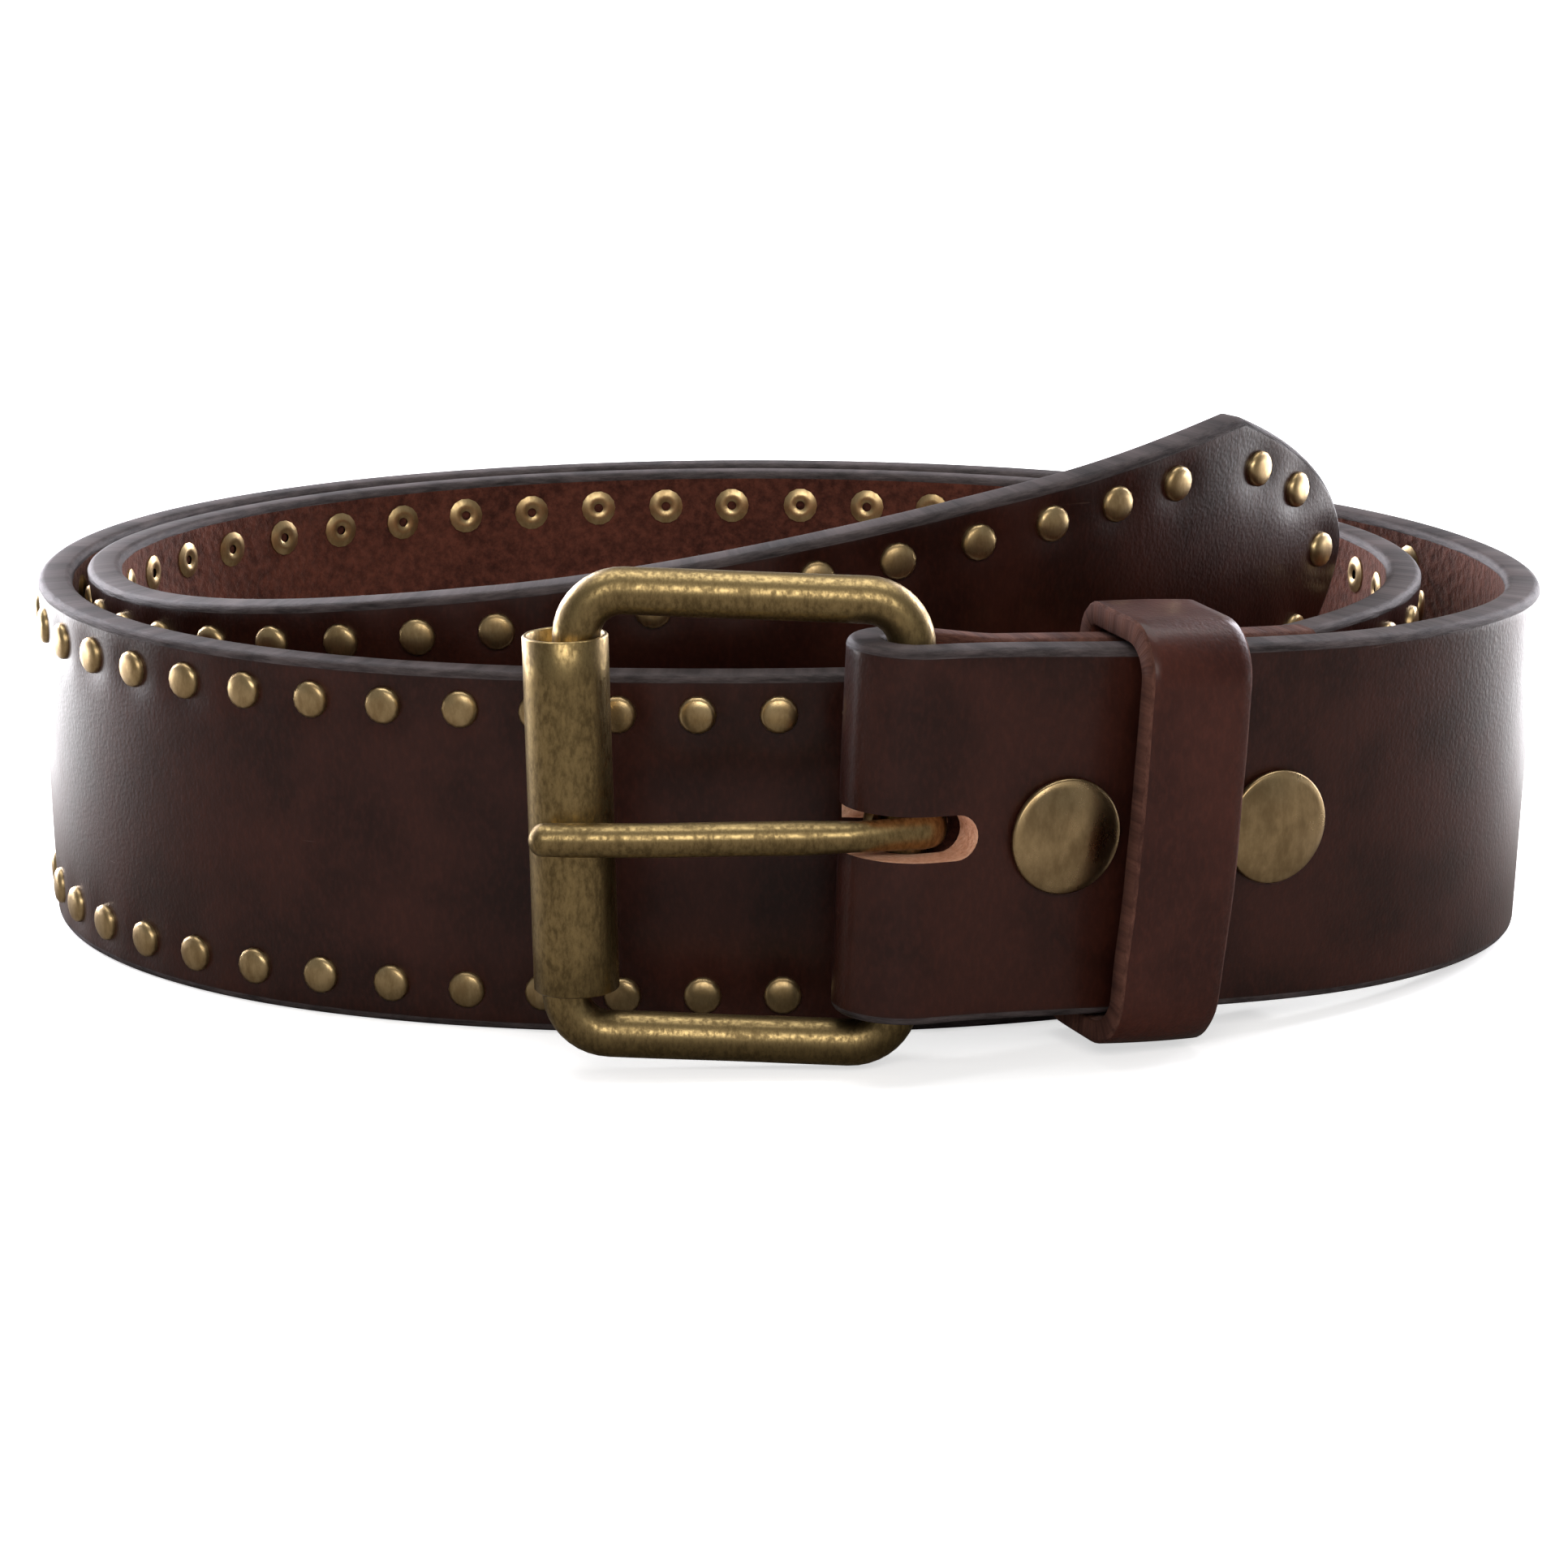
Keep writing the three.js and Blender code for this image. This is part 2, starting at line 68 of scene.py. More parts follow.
class Slot(Enum):
    """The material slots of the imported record."""

    STRAP = "strap_leather"
    KEEPER = "keeper_leather"
    BUCKLE = "antique_brass"
    CAP = "cap_brass"
    RIVET = "rivet_brass"
    STEEL = "steel"


# ---------------------------------------------------------------- meshes


def mesh_object(name: str, verts: np.ndarray, faces: Sequence[Sequence[int]]) -> bpy.types.Object:
    """Makes an object from points and faces.

    Args:
        name: the piece's name.
        verts: the points, one row each.
        faces: the corner numbers of each face.

    Returns:
        The new object, at the origin.
    """
    mesh = bpy.data.meshes.new(name)
    mesh.from_pydata([tuple(v) for v in verts], [], [tuple(f) for f in faces])
    mesh.update()
    piece = bpy.data.objects.new(name, mesh)
    bpy.context.scene.collection.objects.link(piece)
    return piece


def smooth(piece: bpy.types.Object, angle: float = 45.0) -> None:
    """Shades a piece smooth, sharp across edges that turn more than angle degrees, and turns its faces out."""
    bm = bmesh.new()
    bm.from_mesh(piece.data)
    bmesh.ops.recalc_face_normals(bm, faces=bm.faces)
    limit = math.radians(angle)
    for face in bm.faces:
        face.smooth = True
    for edge in bm.edges:
        edge.smooth = len(edge.link_faces) == 2 and edge.calc_face_angle(0.0) < limit
    bm.to_mesh(piece.data)
    bm.free()


def skin(name: str, rings: np.ndarray, u: np.ndarray, v: np.ndarray, caps: bool = True) -> bpy.types.Object:
    """Joins rings of points into one closed skin with a UV map.

    Args:
        name: the piece's name.
        rings: points shaped (rings, points in a ring, 3). Each ring closes on itself.
        u: the map's first value for each ring.
        v: the map's second value for each point of a ring, and one more for where the ring closes.
        caps: True closes the two ends with a face each; False joins the last ring to the first.

    Returns:
        The new object.
    """
    count, sides = rings.shape[:2]
    faces = []
    corners = []
    for r in range(count - 1 if caps else count):
        a, b = r * sides, ((r + 1) % count) * sides
        ua, ub = u[r], u[r + 1] if r + 1 < len(u) else u[r]
        for i in range(sides):
            j = (i + 1) % sides
            faces.append((a + i, a + j, b + j, b + i))
            corners.extend(((ua, v[i]), (ua, v[i + 1]), (ub, v[i + 1]), (ub, v[i])))
    if caps:
        last = (count - 1) * sides
        faces.append(tuple(reversed(range(sides))))
        corners.extend((u[0], v[i]) for i in reversed(range(sides)))
        faces.append(tuple(range(last, last + sides)))
        corners.extend((u[count - 1], v[i]) for i in range(sides))
    piece = mesh_object(name, rings.reshape(-1, 3), faces)
    layer = piece.data.uv_layers.new(name="UVMap")
    layer.data.foreach_set("uv", np.array(corners, dtype=np.float32).ravel())
    return piece


def turned(name: str, profile: Sequence[tuple[float, float]], sides: int) -> bpy.types.Object:
    """Turns a profile about +Z into a closed piece, with a map that runs round it.

    Args:
        name: the piece's name.
        profile: (radius, height) points. A profile that leaves the axis closes on itself.
        sides: how many sides the turning has.

    Returns:
        The new object. Its map holds the turn as u, from 0 to 1, and the radius in metres as v.
    """
    verts: list[tuple[float, float, float]] = []
    rows: list[list[int]] = []
    for radius, height in profile:
        if radius < 1e-9:
            rows.append([len(verts)] * sides)
            verts.append((0.0, 0.0, height))
            continue
        rows.append(list(range(len(verts), len(verts) + sides)))
        for i in range(sides):
            a = 2 * math.pi * i / sides
            verts.append((radius * math.cos(a), radius * math.sin(a), height))
    closed = profile[0][0] > 1e-9
    pairs = list(zip(range(len(rows) - 1), range(1, len(rows))))
    if closed:
        pairs.append((len(rows) - 1, 0))
    faces = []
    corners = []
    for lo, hi in pairs:
        for i in range(sides):
            j = (i + 1) % sides
            quad = [rows[lo][i], rows[lo][j], rows[hi][j], rows[hi][i]]
            uv = [(i / sides, profile[lo][0]), ((i + 1) / sides, profile[lo][0]),
                  ((i + 1) / sides, profile[hi][0]), (i / sides, profile[hi][0])]
            keep = [k for k in range(4) if quad[k] != quad[k - 1]]
            faces.append([quad[k] for k in keep])
            corners.extend(uv[k] for k in keep)
    piece = mesh_object(name, np.array(verts), faces)
    layer = piece.data.uv_layers.new(name="UVMap")
    layer.data.foreach_set("uv", np.array(corners, dtype=np.float32).ravel())
    return piece


def arc(centre: tuple[float, float], radius: float, start: float, stop: float, steps: int) -> list[tuple[float, float]]:
    """Points on an arc, from start to stop degrees, both ends included."""
    turns = [math.radians(start + (stop - start) * k / steps) for k in range(steps + 1)]
    return [(centre[0] + radius * math.cos(a), centre[1] + radius * math.sin(a)) for a in turns]


def place(piece: bpy.types.Object, matrix: Matrix) -> bpy.types.Object:
    """Moves a piece's mesh, so that its object stays at the origin."""
    piece.data.transform(matrix)
    piece.data.update()
    return piece


def finish_piece(
    piece: bpy.types.Object, body: Body, materials: Iterable[bpy.types.Material], nodes: Sequence[str]
) -> None:
    """Dresses a piece and hands it to the frame.

    Args:
        piece: the finished piece.
        body: the CAD body it rides on.
        materials: its materials, in the order of its faces' material numbers.
        nodes: the CAD nodes it stands for.
    """
    numbers = np.empty(len(piece.data.polygons), dtype=np.int32)
    piece.data.polygons.foreach_get("material_index", numbers)
    piece.data.materials.clear()
    for material in materials:
        piece.data.materials.append(material)
    piece.data.polygons.foreach_set("material_index", numbers)
    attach(piece, body.value)
    if nodes:
        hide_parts(*nodes)
    LOG.info("%s: %d faces on %s", piece.name, len(piece.data.polygons), body.value)


# ---------------------------------------------------------------- the strap's route


class KnotCurve:
    """A smooth curve through (station, value) knots, level at its ends and at every high or low knot."""

    def __init__(self, knots: Sequence[tuple[float, float]]) -> None:
        """Works out the slope at each knot."""
        self.at = np.array([k[0] for k in knots])
        self.value = np.array([k[1] for k in knots])
        grade = np.diff(self.value) / np.diff(self.at)
        self.slope = np.zeros(len(knots))
        for i in range(1, len(knots) - 1):
            before, after = grade[i - 1], grade[i]
            if before * after > 0:
                self.slope[i] = 2 * before * after / (before + after)

    def __call__(self, station: np.ndarray) -> np.ndarray:
        """The curve's value at each station."""
        s = np.asarray(station, dtype=float)
        i = np.clip(np.searchsorted(self.at, s, side="left") - 1, 0, len(self.at) - 2)
        run = self.at[i + 1] - self.at[i]
        t = np.clip((s - self.at[i]) / run, 0, 1)
        rise = self.value[i] * (1 + 2 * t) * (1 - t) ** 2 + self.value[i + 1] * t * t * (3 - 2 * t)
        return rise + run * (self.slope[i] * t * (1 - t) ** 2 - self.slope[i + 1] * t * t * (1 - t))


@dataclass
class Axes:
    """The strap's own axes at one or more stations: the middle, along, outwards and across."""

    middle: np.ndarray
    along: np.ndarray
    out: np.ndarray
    across: np.ndarray

    def point(self, outwards: float, across: float) -> np.ndarray:
        """A point beside the middle."""
        return self.middle + self.out * outwards + self.across * across

    def seat(self, across: float = 0.0) -> Matrix:
        """A matrix that puts a piece turned about +Z on the strap, its +Z pointing outwards."""
        columns = (self.along, self.across, self.out, self.middle + self.across * across)
        return Matrix([[float(c[row]) for c in columns] for row in range(3)] + [[0.0, 0.0, 0.0, 1.0]])


@dataclass
class Route:
    """Where the rolled strap runs: the same bends, lift and lean as the CAD strap, in metres."""

    start: tuple[float, float] = (6.62 * MM, -72.38 * MM)
    start_heading: float = 29.8
    bend_step: float = 45 * MM
    bends: tuple[float, ...] = (
        -22.8, 17.1, 60.4, 39.1, 24.8, 23.3, 27.9, 47.9, 52.1, 37.1, 14.2, 32.5, 57.3, 52, 24.6, 25.2, 38.9, 67.7,
        47.8, 20.8, 38.1, 10.7,
    )  # degrees turned to the left in a step
    lift: tuple[tuple[float, float], ...] = (
        (0, 6.9), (40, 4.1), (70, 2), (130, 0), (720, 0), (780, 0.7), (840, 6.5), (900, 15.8), (957, 21.8),
    )  # millimetres: station, height of the lower edge
    lean: tuple[tuple[float, float], ...] = (
        (0, 0), (40, 2.4), (100, 3.4), (170, 1.3), (300, 1.6), (430, 0), (500, 0), (560, 4.9), (600, 2.9), (957, 3.8),
    )  # station in millimetres, degrees that the upper edge leans outwards
    width: float = 40 * MM
    leather: float = 4 * MM
    length: float = 951 * MM
    heel_station: float = 9.3 * MM  # where the strap folds round the buckle's heel bar
    step: float = 1 * MM

    def __post_init__(self) -> None:
        """Walks the strap's middle line in plan and makes the lift and lean curves."""
        self.stations = np.arange(round(self.length / self.step) + 1) * self.step
        at = self.stations / self.bend_step
        k = np.minimum(at.astype(int), len(self.bends) - 2)
        bends = np.radians(np.array(self.bends)) / self.bend_step
        bend = bends[k] + (bends[k + 1] - bends[k]) * (at - k)
        turn = np.concatenate(([0.0], np.cumsum((bend[:-1] + bend[1:]) / 2 * self.step)))
        self.heading = math.radians(self.start_heading) + turn
        middle = (self.heading[:-1] + self.heading[1:]) / 2
        self.x = self.start[0] + np.concatenate(([0.0], np.cumsum(np.cos(middle) * self.step)))
        self.y = self.start[1] + np.concatenate(([0.0], np.cumsum(np.sin(middle) * self.step)))
        self.lift_at = KnotCurve([(s * MM, v * MM) for s, v in self.lift])
        self.lean_at = KnotCurve([(s * MM, math.radians(v)) for s, v in self.lean])

    def axes(self, station: float | np.ndarray) -> Axes:
        """The strap's axes at one station or an array of them."""
        s = np.asarray(station, dtype=float)
        heading = np.interp(s, self.stations, self.heading)
        reach = 0.5 * MM
        climb = np.arctan((self.lift_at(s + reach) - self.lift_at(s - reach)) / (2 * reach))
        lean = self.lean_at(s)
        zero = np.zeros_like(s)
        level = np.stack((np.cos(heading), np.sin(heading), zero), axis=-1)
        side = np.stack((np.sin(heading), -np.cos(heading), zero), axis=-1)
        z = np.array([0.0, 0.0, 1.0])
        cc, sc = np.cos(climb)[..., None], np.sin(climb)[..., None]
        cl, sl = np.cos(lean)[..., None], np.sin(lean)[..., None]
        up = z * cc - level * sc
        drop = self.width / 2 * np.cos(lean) * np.cos(climb) + self.leather / 2 * np.abs(np.sin(lean))
        height = self.lift_at(s) + drop
        middle = np.stack(
            (np.interp(s, self.stations, self.x), np.interp(s, self.stations, self.y), height), axis=-1
        )
        return Axes(middle, level * cc + z * sc, side * cl - up * sl, up * cl + side * sl)


# ---------------------------------------------------------------- shader building


class Nodes:
    """A short way to write a node tree."""

    def __init__(self, tree: bpy.types.NodeTree) -> None:
        """Starts on an empty tree."""
        self.tree = tree
        tree.nodes.clear()

    def add(self, kind: str, values: Optional[dict] = None, **settings: object) -> bpy.types.Node:
        """Adds a node.

        Args:
            kind: the node's type name.
            values: what goes into its inputs, by name or number: a socket to link or a constant.
            **settings: the node's own properties.

        Returns:
            The new node.
        """
        node = self.tree.nodes.new(kind)
        for key, value in settings.items():
            setattr(node, key, value)
        for key, value in (values or {}).items():
            self.put(node.inputs[key], value)
        return node

    def put(self, socket: bpy.types.NodeSocket, value: object) -> None:
        """Links a socket to a socket, or sets it to a constant."""
        if isinstance(value, bpy.types.NodeSocket):
            self.tree.links.new(value, socket)
        elif isinstance(value, tuple) and len(value) == 3 and socket.type == "RGBA":
            socket.default_value = (*value, 1.0)
        else:
            socket.default_value = value

    def math(self, operation: str, a: object, b: object = 0.5, c: object = 0.0) -> bpy.types.NodeSocket:
        """A Math node's result."""
        return self.add("ShaderNodeMath", {0: a, 1: b, 2: c}, operation=operation).outputs[0]

    def ramp(
        self, value: object, low: float, high: float, to: tuple[float, float] = (0.0, 1.0)
    ) -> bpy.types.NodeSocket:
        """A value mapped smoothly from low..high to the range to, and held there."""
        inputs = {"Value": value, "From Min": low, "From Max": high, "To Min": to[0], "To Max": to[1]}
        return self.add("ShaderNodeMapRange", inputs, interpolation_type="SMOOTHSTEP").outputs[0]

    def noise(self, vector: object, scale: object, detail: float = 3.0, roughness: float = 0.5) -> bpy.types.NodeSocket:
        """A noise value at a scale of so many cells a metre."""
        inputs = {"Vector": vector, "Scale": scale, "Detail": detail, "Roughness": roughness}
        return self.add("ShaderNodeTexNoise", inputs).outputs[0]

    def stretched(
        self, vector: object, scale: tuple[float, float, float], turn: RGB = (0, 0, 0)
    ) -> bpy.types.NodeSocket:
        """Coordinates scaled by different amounts along their axes, after a turn in degrees."""
        rotation = tuple(math.radians(a) for a in turn)
        return self.add("ShaderNodeMapping", {"Vector": vector, "Rotation": rotation, "Scale": scale}).outputs[0]

    def blend(self, share: object, a: object, b: object, mode: str = "MIX") -> bpy.types.NodeSocket:
        """Two colours mixed by a share."""
        node = self.tree.nodes.new("ShaderNodeMix")
        node.data_type = "RGBA"
        node.blend_type = mode
        self.put(node.inputs[0], share)
        self.put(node.inputs[6], a)
        self.put(node.inputs[7], b)
        return node.outputs[2]


def node_group(name: str, inputs: dict[str, float], outputs: Sequence[str]) -> tuple[bpy.types.NodeTree, Nodes]:
    """Starts a shader group with a Vector input, more float inputs, and float outputs.

    Args:
        name: the group's name.
        inputs: the float inputs and their defaults.
        outputs: the names of the float outputs.

    Returns:
        The group and a builder for it, which already holds its Group Input node, first.
    """
    tree = bpy.data.node_groups.new(name, "ShaderNodeTree")
    tree.interface.new_socket("Vector", in_out="INPUT", socket_type="NodeSocketVector")
    for label, default in inputs.items():
        tree.interface.new_socket(label, in_out="INPUT", socket_type="NodeSocketFloat").default_value = default
    for label in outputs:
        tree.interface.new_socket(label, in_out="OUTPUT", socket_type="NodeSocketFloat")
    return tree, Nodes(tree)


class Effects:
    """The effects that several materials share, each made once as a shader group."""

    def __init__(self) -> None:
        """Builds the groups."""
        self.hide = self._hide()
        self.marks = self._marks()
        self.patina = self._patina()
        self.fibre = self._fibre()

    @staticmethod
    def _hide() -> bpy.types.NodeTree:
        """Fine hair-cell grain and slow colour clouds. Outputs Height, Cloud and Fleck."""
        tree, n = node_group("hide_grain", {"Pore": 0.0004, "Cloud": 0.012}, ("Height", "Cloud", "Fleck"))
        given = n.add("NodeGroupInput")
        pores = n.math("DIVIDE", 1.0, given.outputs["Pore"])
        clouds = n.math("DIVIDE", 1.0, given.outputs["Cloud"])
        cells = n.add("ShaderNodeTexVoronoi", {"Vector": given.outputs["Vector"], "Scale": pores}, feature="SMOOTH_F1")
        n.put(cells.inputs["Smoothness"], 0.6)
        slanted = n.stretched(given.outputs["Vector"], (1.0, 1.0, 0.45), (0, 38, 0))
        hairs = n.noise(slanted, n.math("MULTIPLY", pores, 0.8), 4.0, 0.6)
        height = n.math("ADD", n.math("MULTIPLY", cells.outputs["Distance"], 0.5), n.math("MULTIPLY", hairs, 0.9))
        cloud = n.noise(given.outputs["Vector"], clouds, 4.0, 0.55)
        fleck = n.ramp(hairs, 0.42, 0.7)
        out = n.add("NodeGroupOutput")
        for label, socket in (("Height", height), ("Cloud", cloud), ("Fleck", fleck)):
            n.put(out.inputs[label], socket)
        return tree

    @staticmethod
    def _marks() -> bpy.types.NodeTree:
        """Handling marks: hairline scratches and a few tiny nicks. Outputs Scratch and Nick."""
        tree, n = node_group("handling_marks", {"Amount": 1.0}, ("Scratch", "Nick"))
        given = n.add("NodeGroupInput")
        lines = []
        for turn, scale in (((20, 35, 10), (95.0, 95.0, 1500.0)), ((-30, -48, 70), (80.0, 80.0, 1300.0))):
            lines.append(n.ramp(n.noise(n.stretched(given.outputs["Vector"], scale, turn), 1.0, 2.0), 0.76, 0.8))
        where = n.ramp(n.noise(given.outputs["Vector"], 55.0, 1.0), 0.5, 0.6)
        scratch = n.math("MULTIPLY", n.math("MAXIMUM", *lines), where)
        spots = n.add("ShaderNodeTexVoronoi", {"Vector": given.outputs["Vector"], "Scale": 130.0}, feature="F1")
        chosen = n.add("ShaderNodeSeparateColor", {0: spots.outputs["Color"]}).outputs[0]
        nick = n.math("MULTIPLY", n.ramp(spots.outputs["Distance"], 0.06, 0.025), n.ramp(chosen, 0.93, 0.95))
        out = n.add("NodeGroupOutput")
        n.put(out.inputs["Scratch"], n.math("MULTIPLY", scratch, given.outputs["Amount"]))
        n.put(out.inputs["Nick"], n.math("MULTIPLY", nick, given.outputs["Amount"]))
        return tree

    @staticmethod
    def _patina() -> bpy.types.NodeTree:
        """Brass that has been darkened and rubbed back. Outputs Bare, from dark to rubbed, and Height."""
        tree, n = node_group("patina", {"Size": 0.0011}, ("Bare", "Height"))
        given = n.add("NodeGroupInput")
        scale = n.math("DIVIDE", 1.0, given.outputs["Size"])
        streaks = n.noise(n.stretched(given.outputs["Vector"], (1.0, 1.0, 0.45)), scale, 5.0, 0.68)
        blooms = n.noise(given.outputs["Vector"], n.math("MULTIPLY", scale, 0.22), 3.0, 0.6)
        both = n.math("ADD", n.math("MULTIPLY", streaks, 0.72), n.math("MULTIPLY", blooms, 0.28))
        out = n.add("NodeGroupOutput")
        n.put(out.inputs["Bare"], n.ramp(both, 0.36, 0.64))
        n.put(out.inputs["Height"], streaks)
        return tree

    @staticmethod
    def _fibre() -> bpy.types.NodeTree:
        """The loose fibres of cut or split leather. Outputs Height and Tone."""
        tree, n = node_group("fibre", {"Size": 0.0009}, ("Height", "Tone"))
        given = n.add("NodeGroupInput")
        scale = n.math("DIVIDE", 1.0, given.outputs["Size"])
        coarse = n.noise(given.outputs["Vector"], scale, 5.0, 0.7)
        strands = n.add("ShaderNodeTexVoronoi", {"Vector": given.outputs["Vector"], "Scale": scale}, feature="F1")
        height = n.math("ADD", coarse, n.math("MULTIPLY", strands.outputs["Distance"], 0.5))
        out = n.add("NodeGroupOutput")
        n.put(out.inputs["Height"], height)
        n.put(out.inputs["Tone"], n.ramp(coarse, 0.3, 0.72))
        return tree


def start_material(name: str) -> tuple[bpy.types.Material, Nodes, bpy.types.Node]:
    """Starts a material with a Principled shader.

    Args:
        name: the material's name.

    Returns:
        The material, a builder for its nodes and its Principled shader.
    """
    material = bpy.data.materials.new(name)
    material.use_nodes = True
    n = Nodes(material.node_tree)
    shader = n.add("ShaderNodeBsdfPrincipled")
    n.add("ShaderNodeOutputMaterial", {"Surface": shader.outputs[0]})
    return material, n, shader


def bump(n: Nodes, shader: bpy.types.Node, height: object, depth: float, strength: float = 1.0) -> None:
    """Feeds a height into the shader's normal, depth metres deep."""
    node = n.add("ShaderNodeBump", {"Height": height, "Strength": strength, "Distance": depth})
    n.put(shader.inputs["Normal"], node.outputs[0])


@dataclass(frozen=True)
class GrainLeather:
    """Pulled-up brown leather, seen on its smooth side."""

    name: str
    dark: RGB
    warm: RGB
    edge: RGB = (0.012, 0.008, 0.008)
    scuff: RGB = (0.2, 0.12, 0.085)
    roughness: float = 0.4
    pore: float = 0.42 * MM
    depth: float = 0.05 * MM
    lip: float = 18.6 * MM  # across the strap, where the darkened edge begins

    def make(self, effects: Effects) -> bpy.types.Material:
        """Builds the material."""
        material, n, shader = start_material(self.name)
        where = n.add("ShaderNodeTexCoord")
        place_at = where.outputs["Object"]
        hide = n.add("ShaderNodeGroup", node_tree=effects.hide)
        n.put(hide.inputs["Vector"], place_at)
        n.put(hide.inputs["Pore"], self.pore)
        marks = n.add("ShaderNodeGroup", node_tree=effects.marks)
        n.put(marks.inputs["Vector"], place_at)
        cloud = n.ramp(hide.outputs["Cloud"], 0.32, 0.68)
        tone = n.math("ADD", n.math("MULTIPLY", cloud, 0.65), n.math("MULTIPLY", hide.outputs["Fleck"], 0.35))
        colour = n.blend(tone, self.dark, self.warm)
        across = n.add("ShaderNodeSeparateXYZ", {0: where.outputs["UV"]}).outputs[1]
        lip = n.ramp(n.math("ABSOLUTE", across), self.lip, self.lip + 1.2 * MM)
        colour = n.blend(n.math("MULTIPLY", lip, 0.8), colour, self.edge)
        faint = n.math("MULTIPLY", marks.outputs["Scratch"], 0.4)
        worn = n.math("MULTIPLY", n.math("MAXIMUM", faint, marks.outputs["Nick"]), 0.45)
        colour = n.blend(worn, colour, self.scuff)
        n.put(shader.inputs["Base Color"], colour)
        rough = n.ramp(hide.outputs["Cloud"], 0.3, 0.7, (self.roughness - 0.05, self.roughness + 0.06))
        n.put(shader.inputs["Roughness"], rough)
        n.put(shader.inputs["Specular IOR Level"], 0.16)
        n.put(shader.inputs["Coat Weight"], 0.5)
        n.put(shader.inputs["Coat Roughness"], 0.22)
        n.put(shader.inputs["Coat IOR"], 1.3)
        height = n.math("SUBTRACT", hide.outputs["Height"], n.math("MULTIPLY", marks.outputs["Scratch"], 0.4))
        bump(n, shader, height, self.depth)
        return material


@dataclass(frozen=True)
class FibreLeather:
    """Leather where it is cut, split or left rough."""

    name: str
    dark: RGB
    light: RGB
    size: float = 0.9 * MM
    depth: float = 0.16 * MM
    roughness: float = 0.85
    streak: float = 1.0  # under 1 draws the fibres out along the strap's map
    sheen: float = 0.0

    def make(self, effects: Effects) -> bpy.types.Material:
        """Builds the material."""
        material, n, shader = start_material(self.name)
        where = n.add("ShaderNodeTexCoord")
        if self.streak < 1.0:
            vector = n.stretched(where.outputs["UV"], (self.streak, 1.0, 1.0))
        else:
            vector = where.outputs["Object"]
        fibre = n.add("ShaderNodeGroup", node_tree=effects.fibre)
        n.put(fibre.inputs["Vector"], vector)
        n.put(fibre.inputs["Size"], self.size)
        clouds = n.ramp(n.noise(where.outputs["Object"], 120.0, 3.0), 0.35, 0.65)
        tone = n.math("ADD", n.math("MULTIPLY", fibre.outputs["Tone"], 0.75), n.math("MULTIPLY", clouds, 0.25))
        n.put(shader.inputs["Base Color"], n.blend(tone, self.dark, self.light))
        n.put(shader.inputs["Roughness"], self.roughness)
        n.put(shader.inputs["Specular IOR Level"], 0.18)
        if self.sheen > 0:
            n.put(shader.inputs["Sheen Weight"], self.sheen)
            n.put(shader.inputs["Sheen Roughness"], 0.4)
            n.put(shader.inputs["Sheen Tint"], (0.75, 0.5, 0.42))
        bump(n, shader, fibre.outputs["Height"], self.depth)
        return material


@dataclass(frozen=True)
class AgedBrass:
    """Brass with a dark patina, rubbed back in patches."""

    name: str
    dark: RGB
    bare: RGB
    size: float = 1.1 * MM
    depth: float = 0.02 * MM
    roughness: tuple[float, float] = (0.48, 0.3)  # in the patina, where rubbed
    spun: float = 0.0  # how strongly the finish runs round the piece
    ring: float = 0.12 * MM

    def make(self, effects: Effects) -> bpy.types.Material:
        """Builds the material."""
        material, n, shader = start_material(self.name)
        where = n.add("ShaderNodeTexCoord")
        patina = n.add("ShaderNodeGroup", node_tree=effects.patina)
        n.put(patina.inputs["Vector"], where.outputs["Object"])
        n.put(patina.inputs["Size"], self.size)
        bare = patina.outputs["Bare"]
        n.put(shader.inputs["Base Color"], n.blend(bare, self.dark, self.bare))
        n.put(shader.inputs["Metallic"], 1.0)
        n.put(shader.inputs["Roughness"], n.ramp(bare, 0.0, 1.0, self.roughness))
        height = patina.outputs["Height"]
        if self.spun > 0:
            radius = n.add("ShaderNodeSeparateXYZ", {0: where.outputs["UV"]}).outputs[1]
            rings = n.noise(n.add("ShaderNodeCombineXYZ", {0: radius}).outputs[0], 1.0 / self.ring, 3.0, 0.7)
            height = n.math("ADD", n.math("MULTIPLY", height, 0.5), n.math("MULTIPLY", rings, 0.7))
            n.put(shader.inputs["Anisotropic"], self.spun)
            tangent = n.add("ShaderNodeTangent", direction_type="UV_MAP", uv_map="UVMap")
            n.put(shader.inputs["Tangent"], tangent.outputs[0])
        bump(n, shader, height, self.depth)
        return material


@dataclass(frozen=True)
class Wire:
    """Plain drawn steel wire."""

    name: str = "staple_steel"

    def make(self, effects: Effects) -> bpy.types.Material:
        """Builds the material."""
        material, n, shader = start_material(self.name)
        patina = n.add("ShaderNodeGroup", node_tree=effects.patina)
        n.put(patina.inputs["Vector"], n.add("ShaderNodeTexCoord").outputs["Object"])
        n.put(shader.inputs["Base Color"], n.blend(patina.outputs["Bare"], (0.35, 0.34, 0.32), (0.62, 0.61, 0.58)))
        n.put(shader.inputs["Metallic"], 1.0)
        n.put(shader.inputs["Roughness"], n.ramp(patina.outputs["Bare"], 0.0, 1.0, (0.5, 0.3)))
        return material


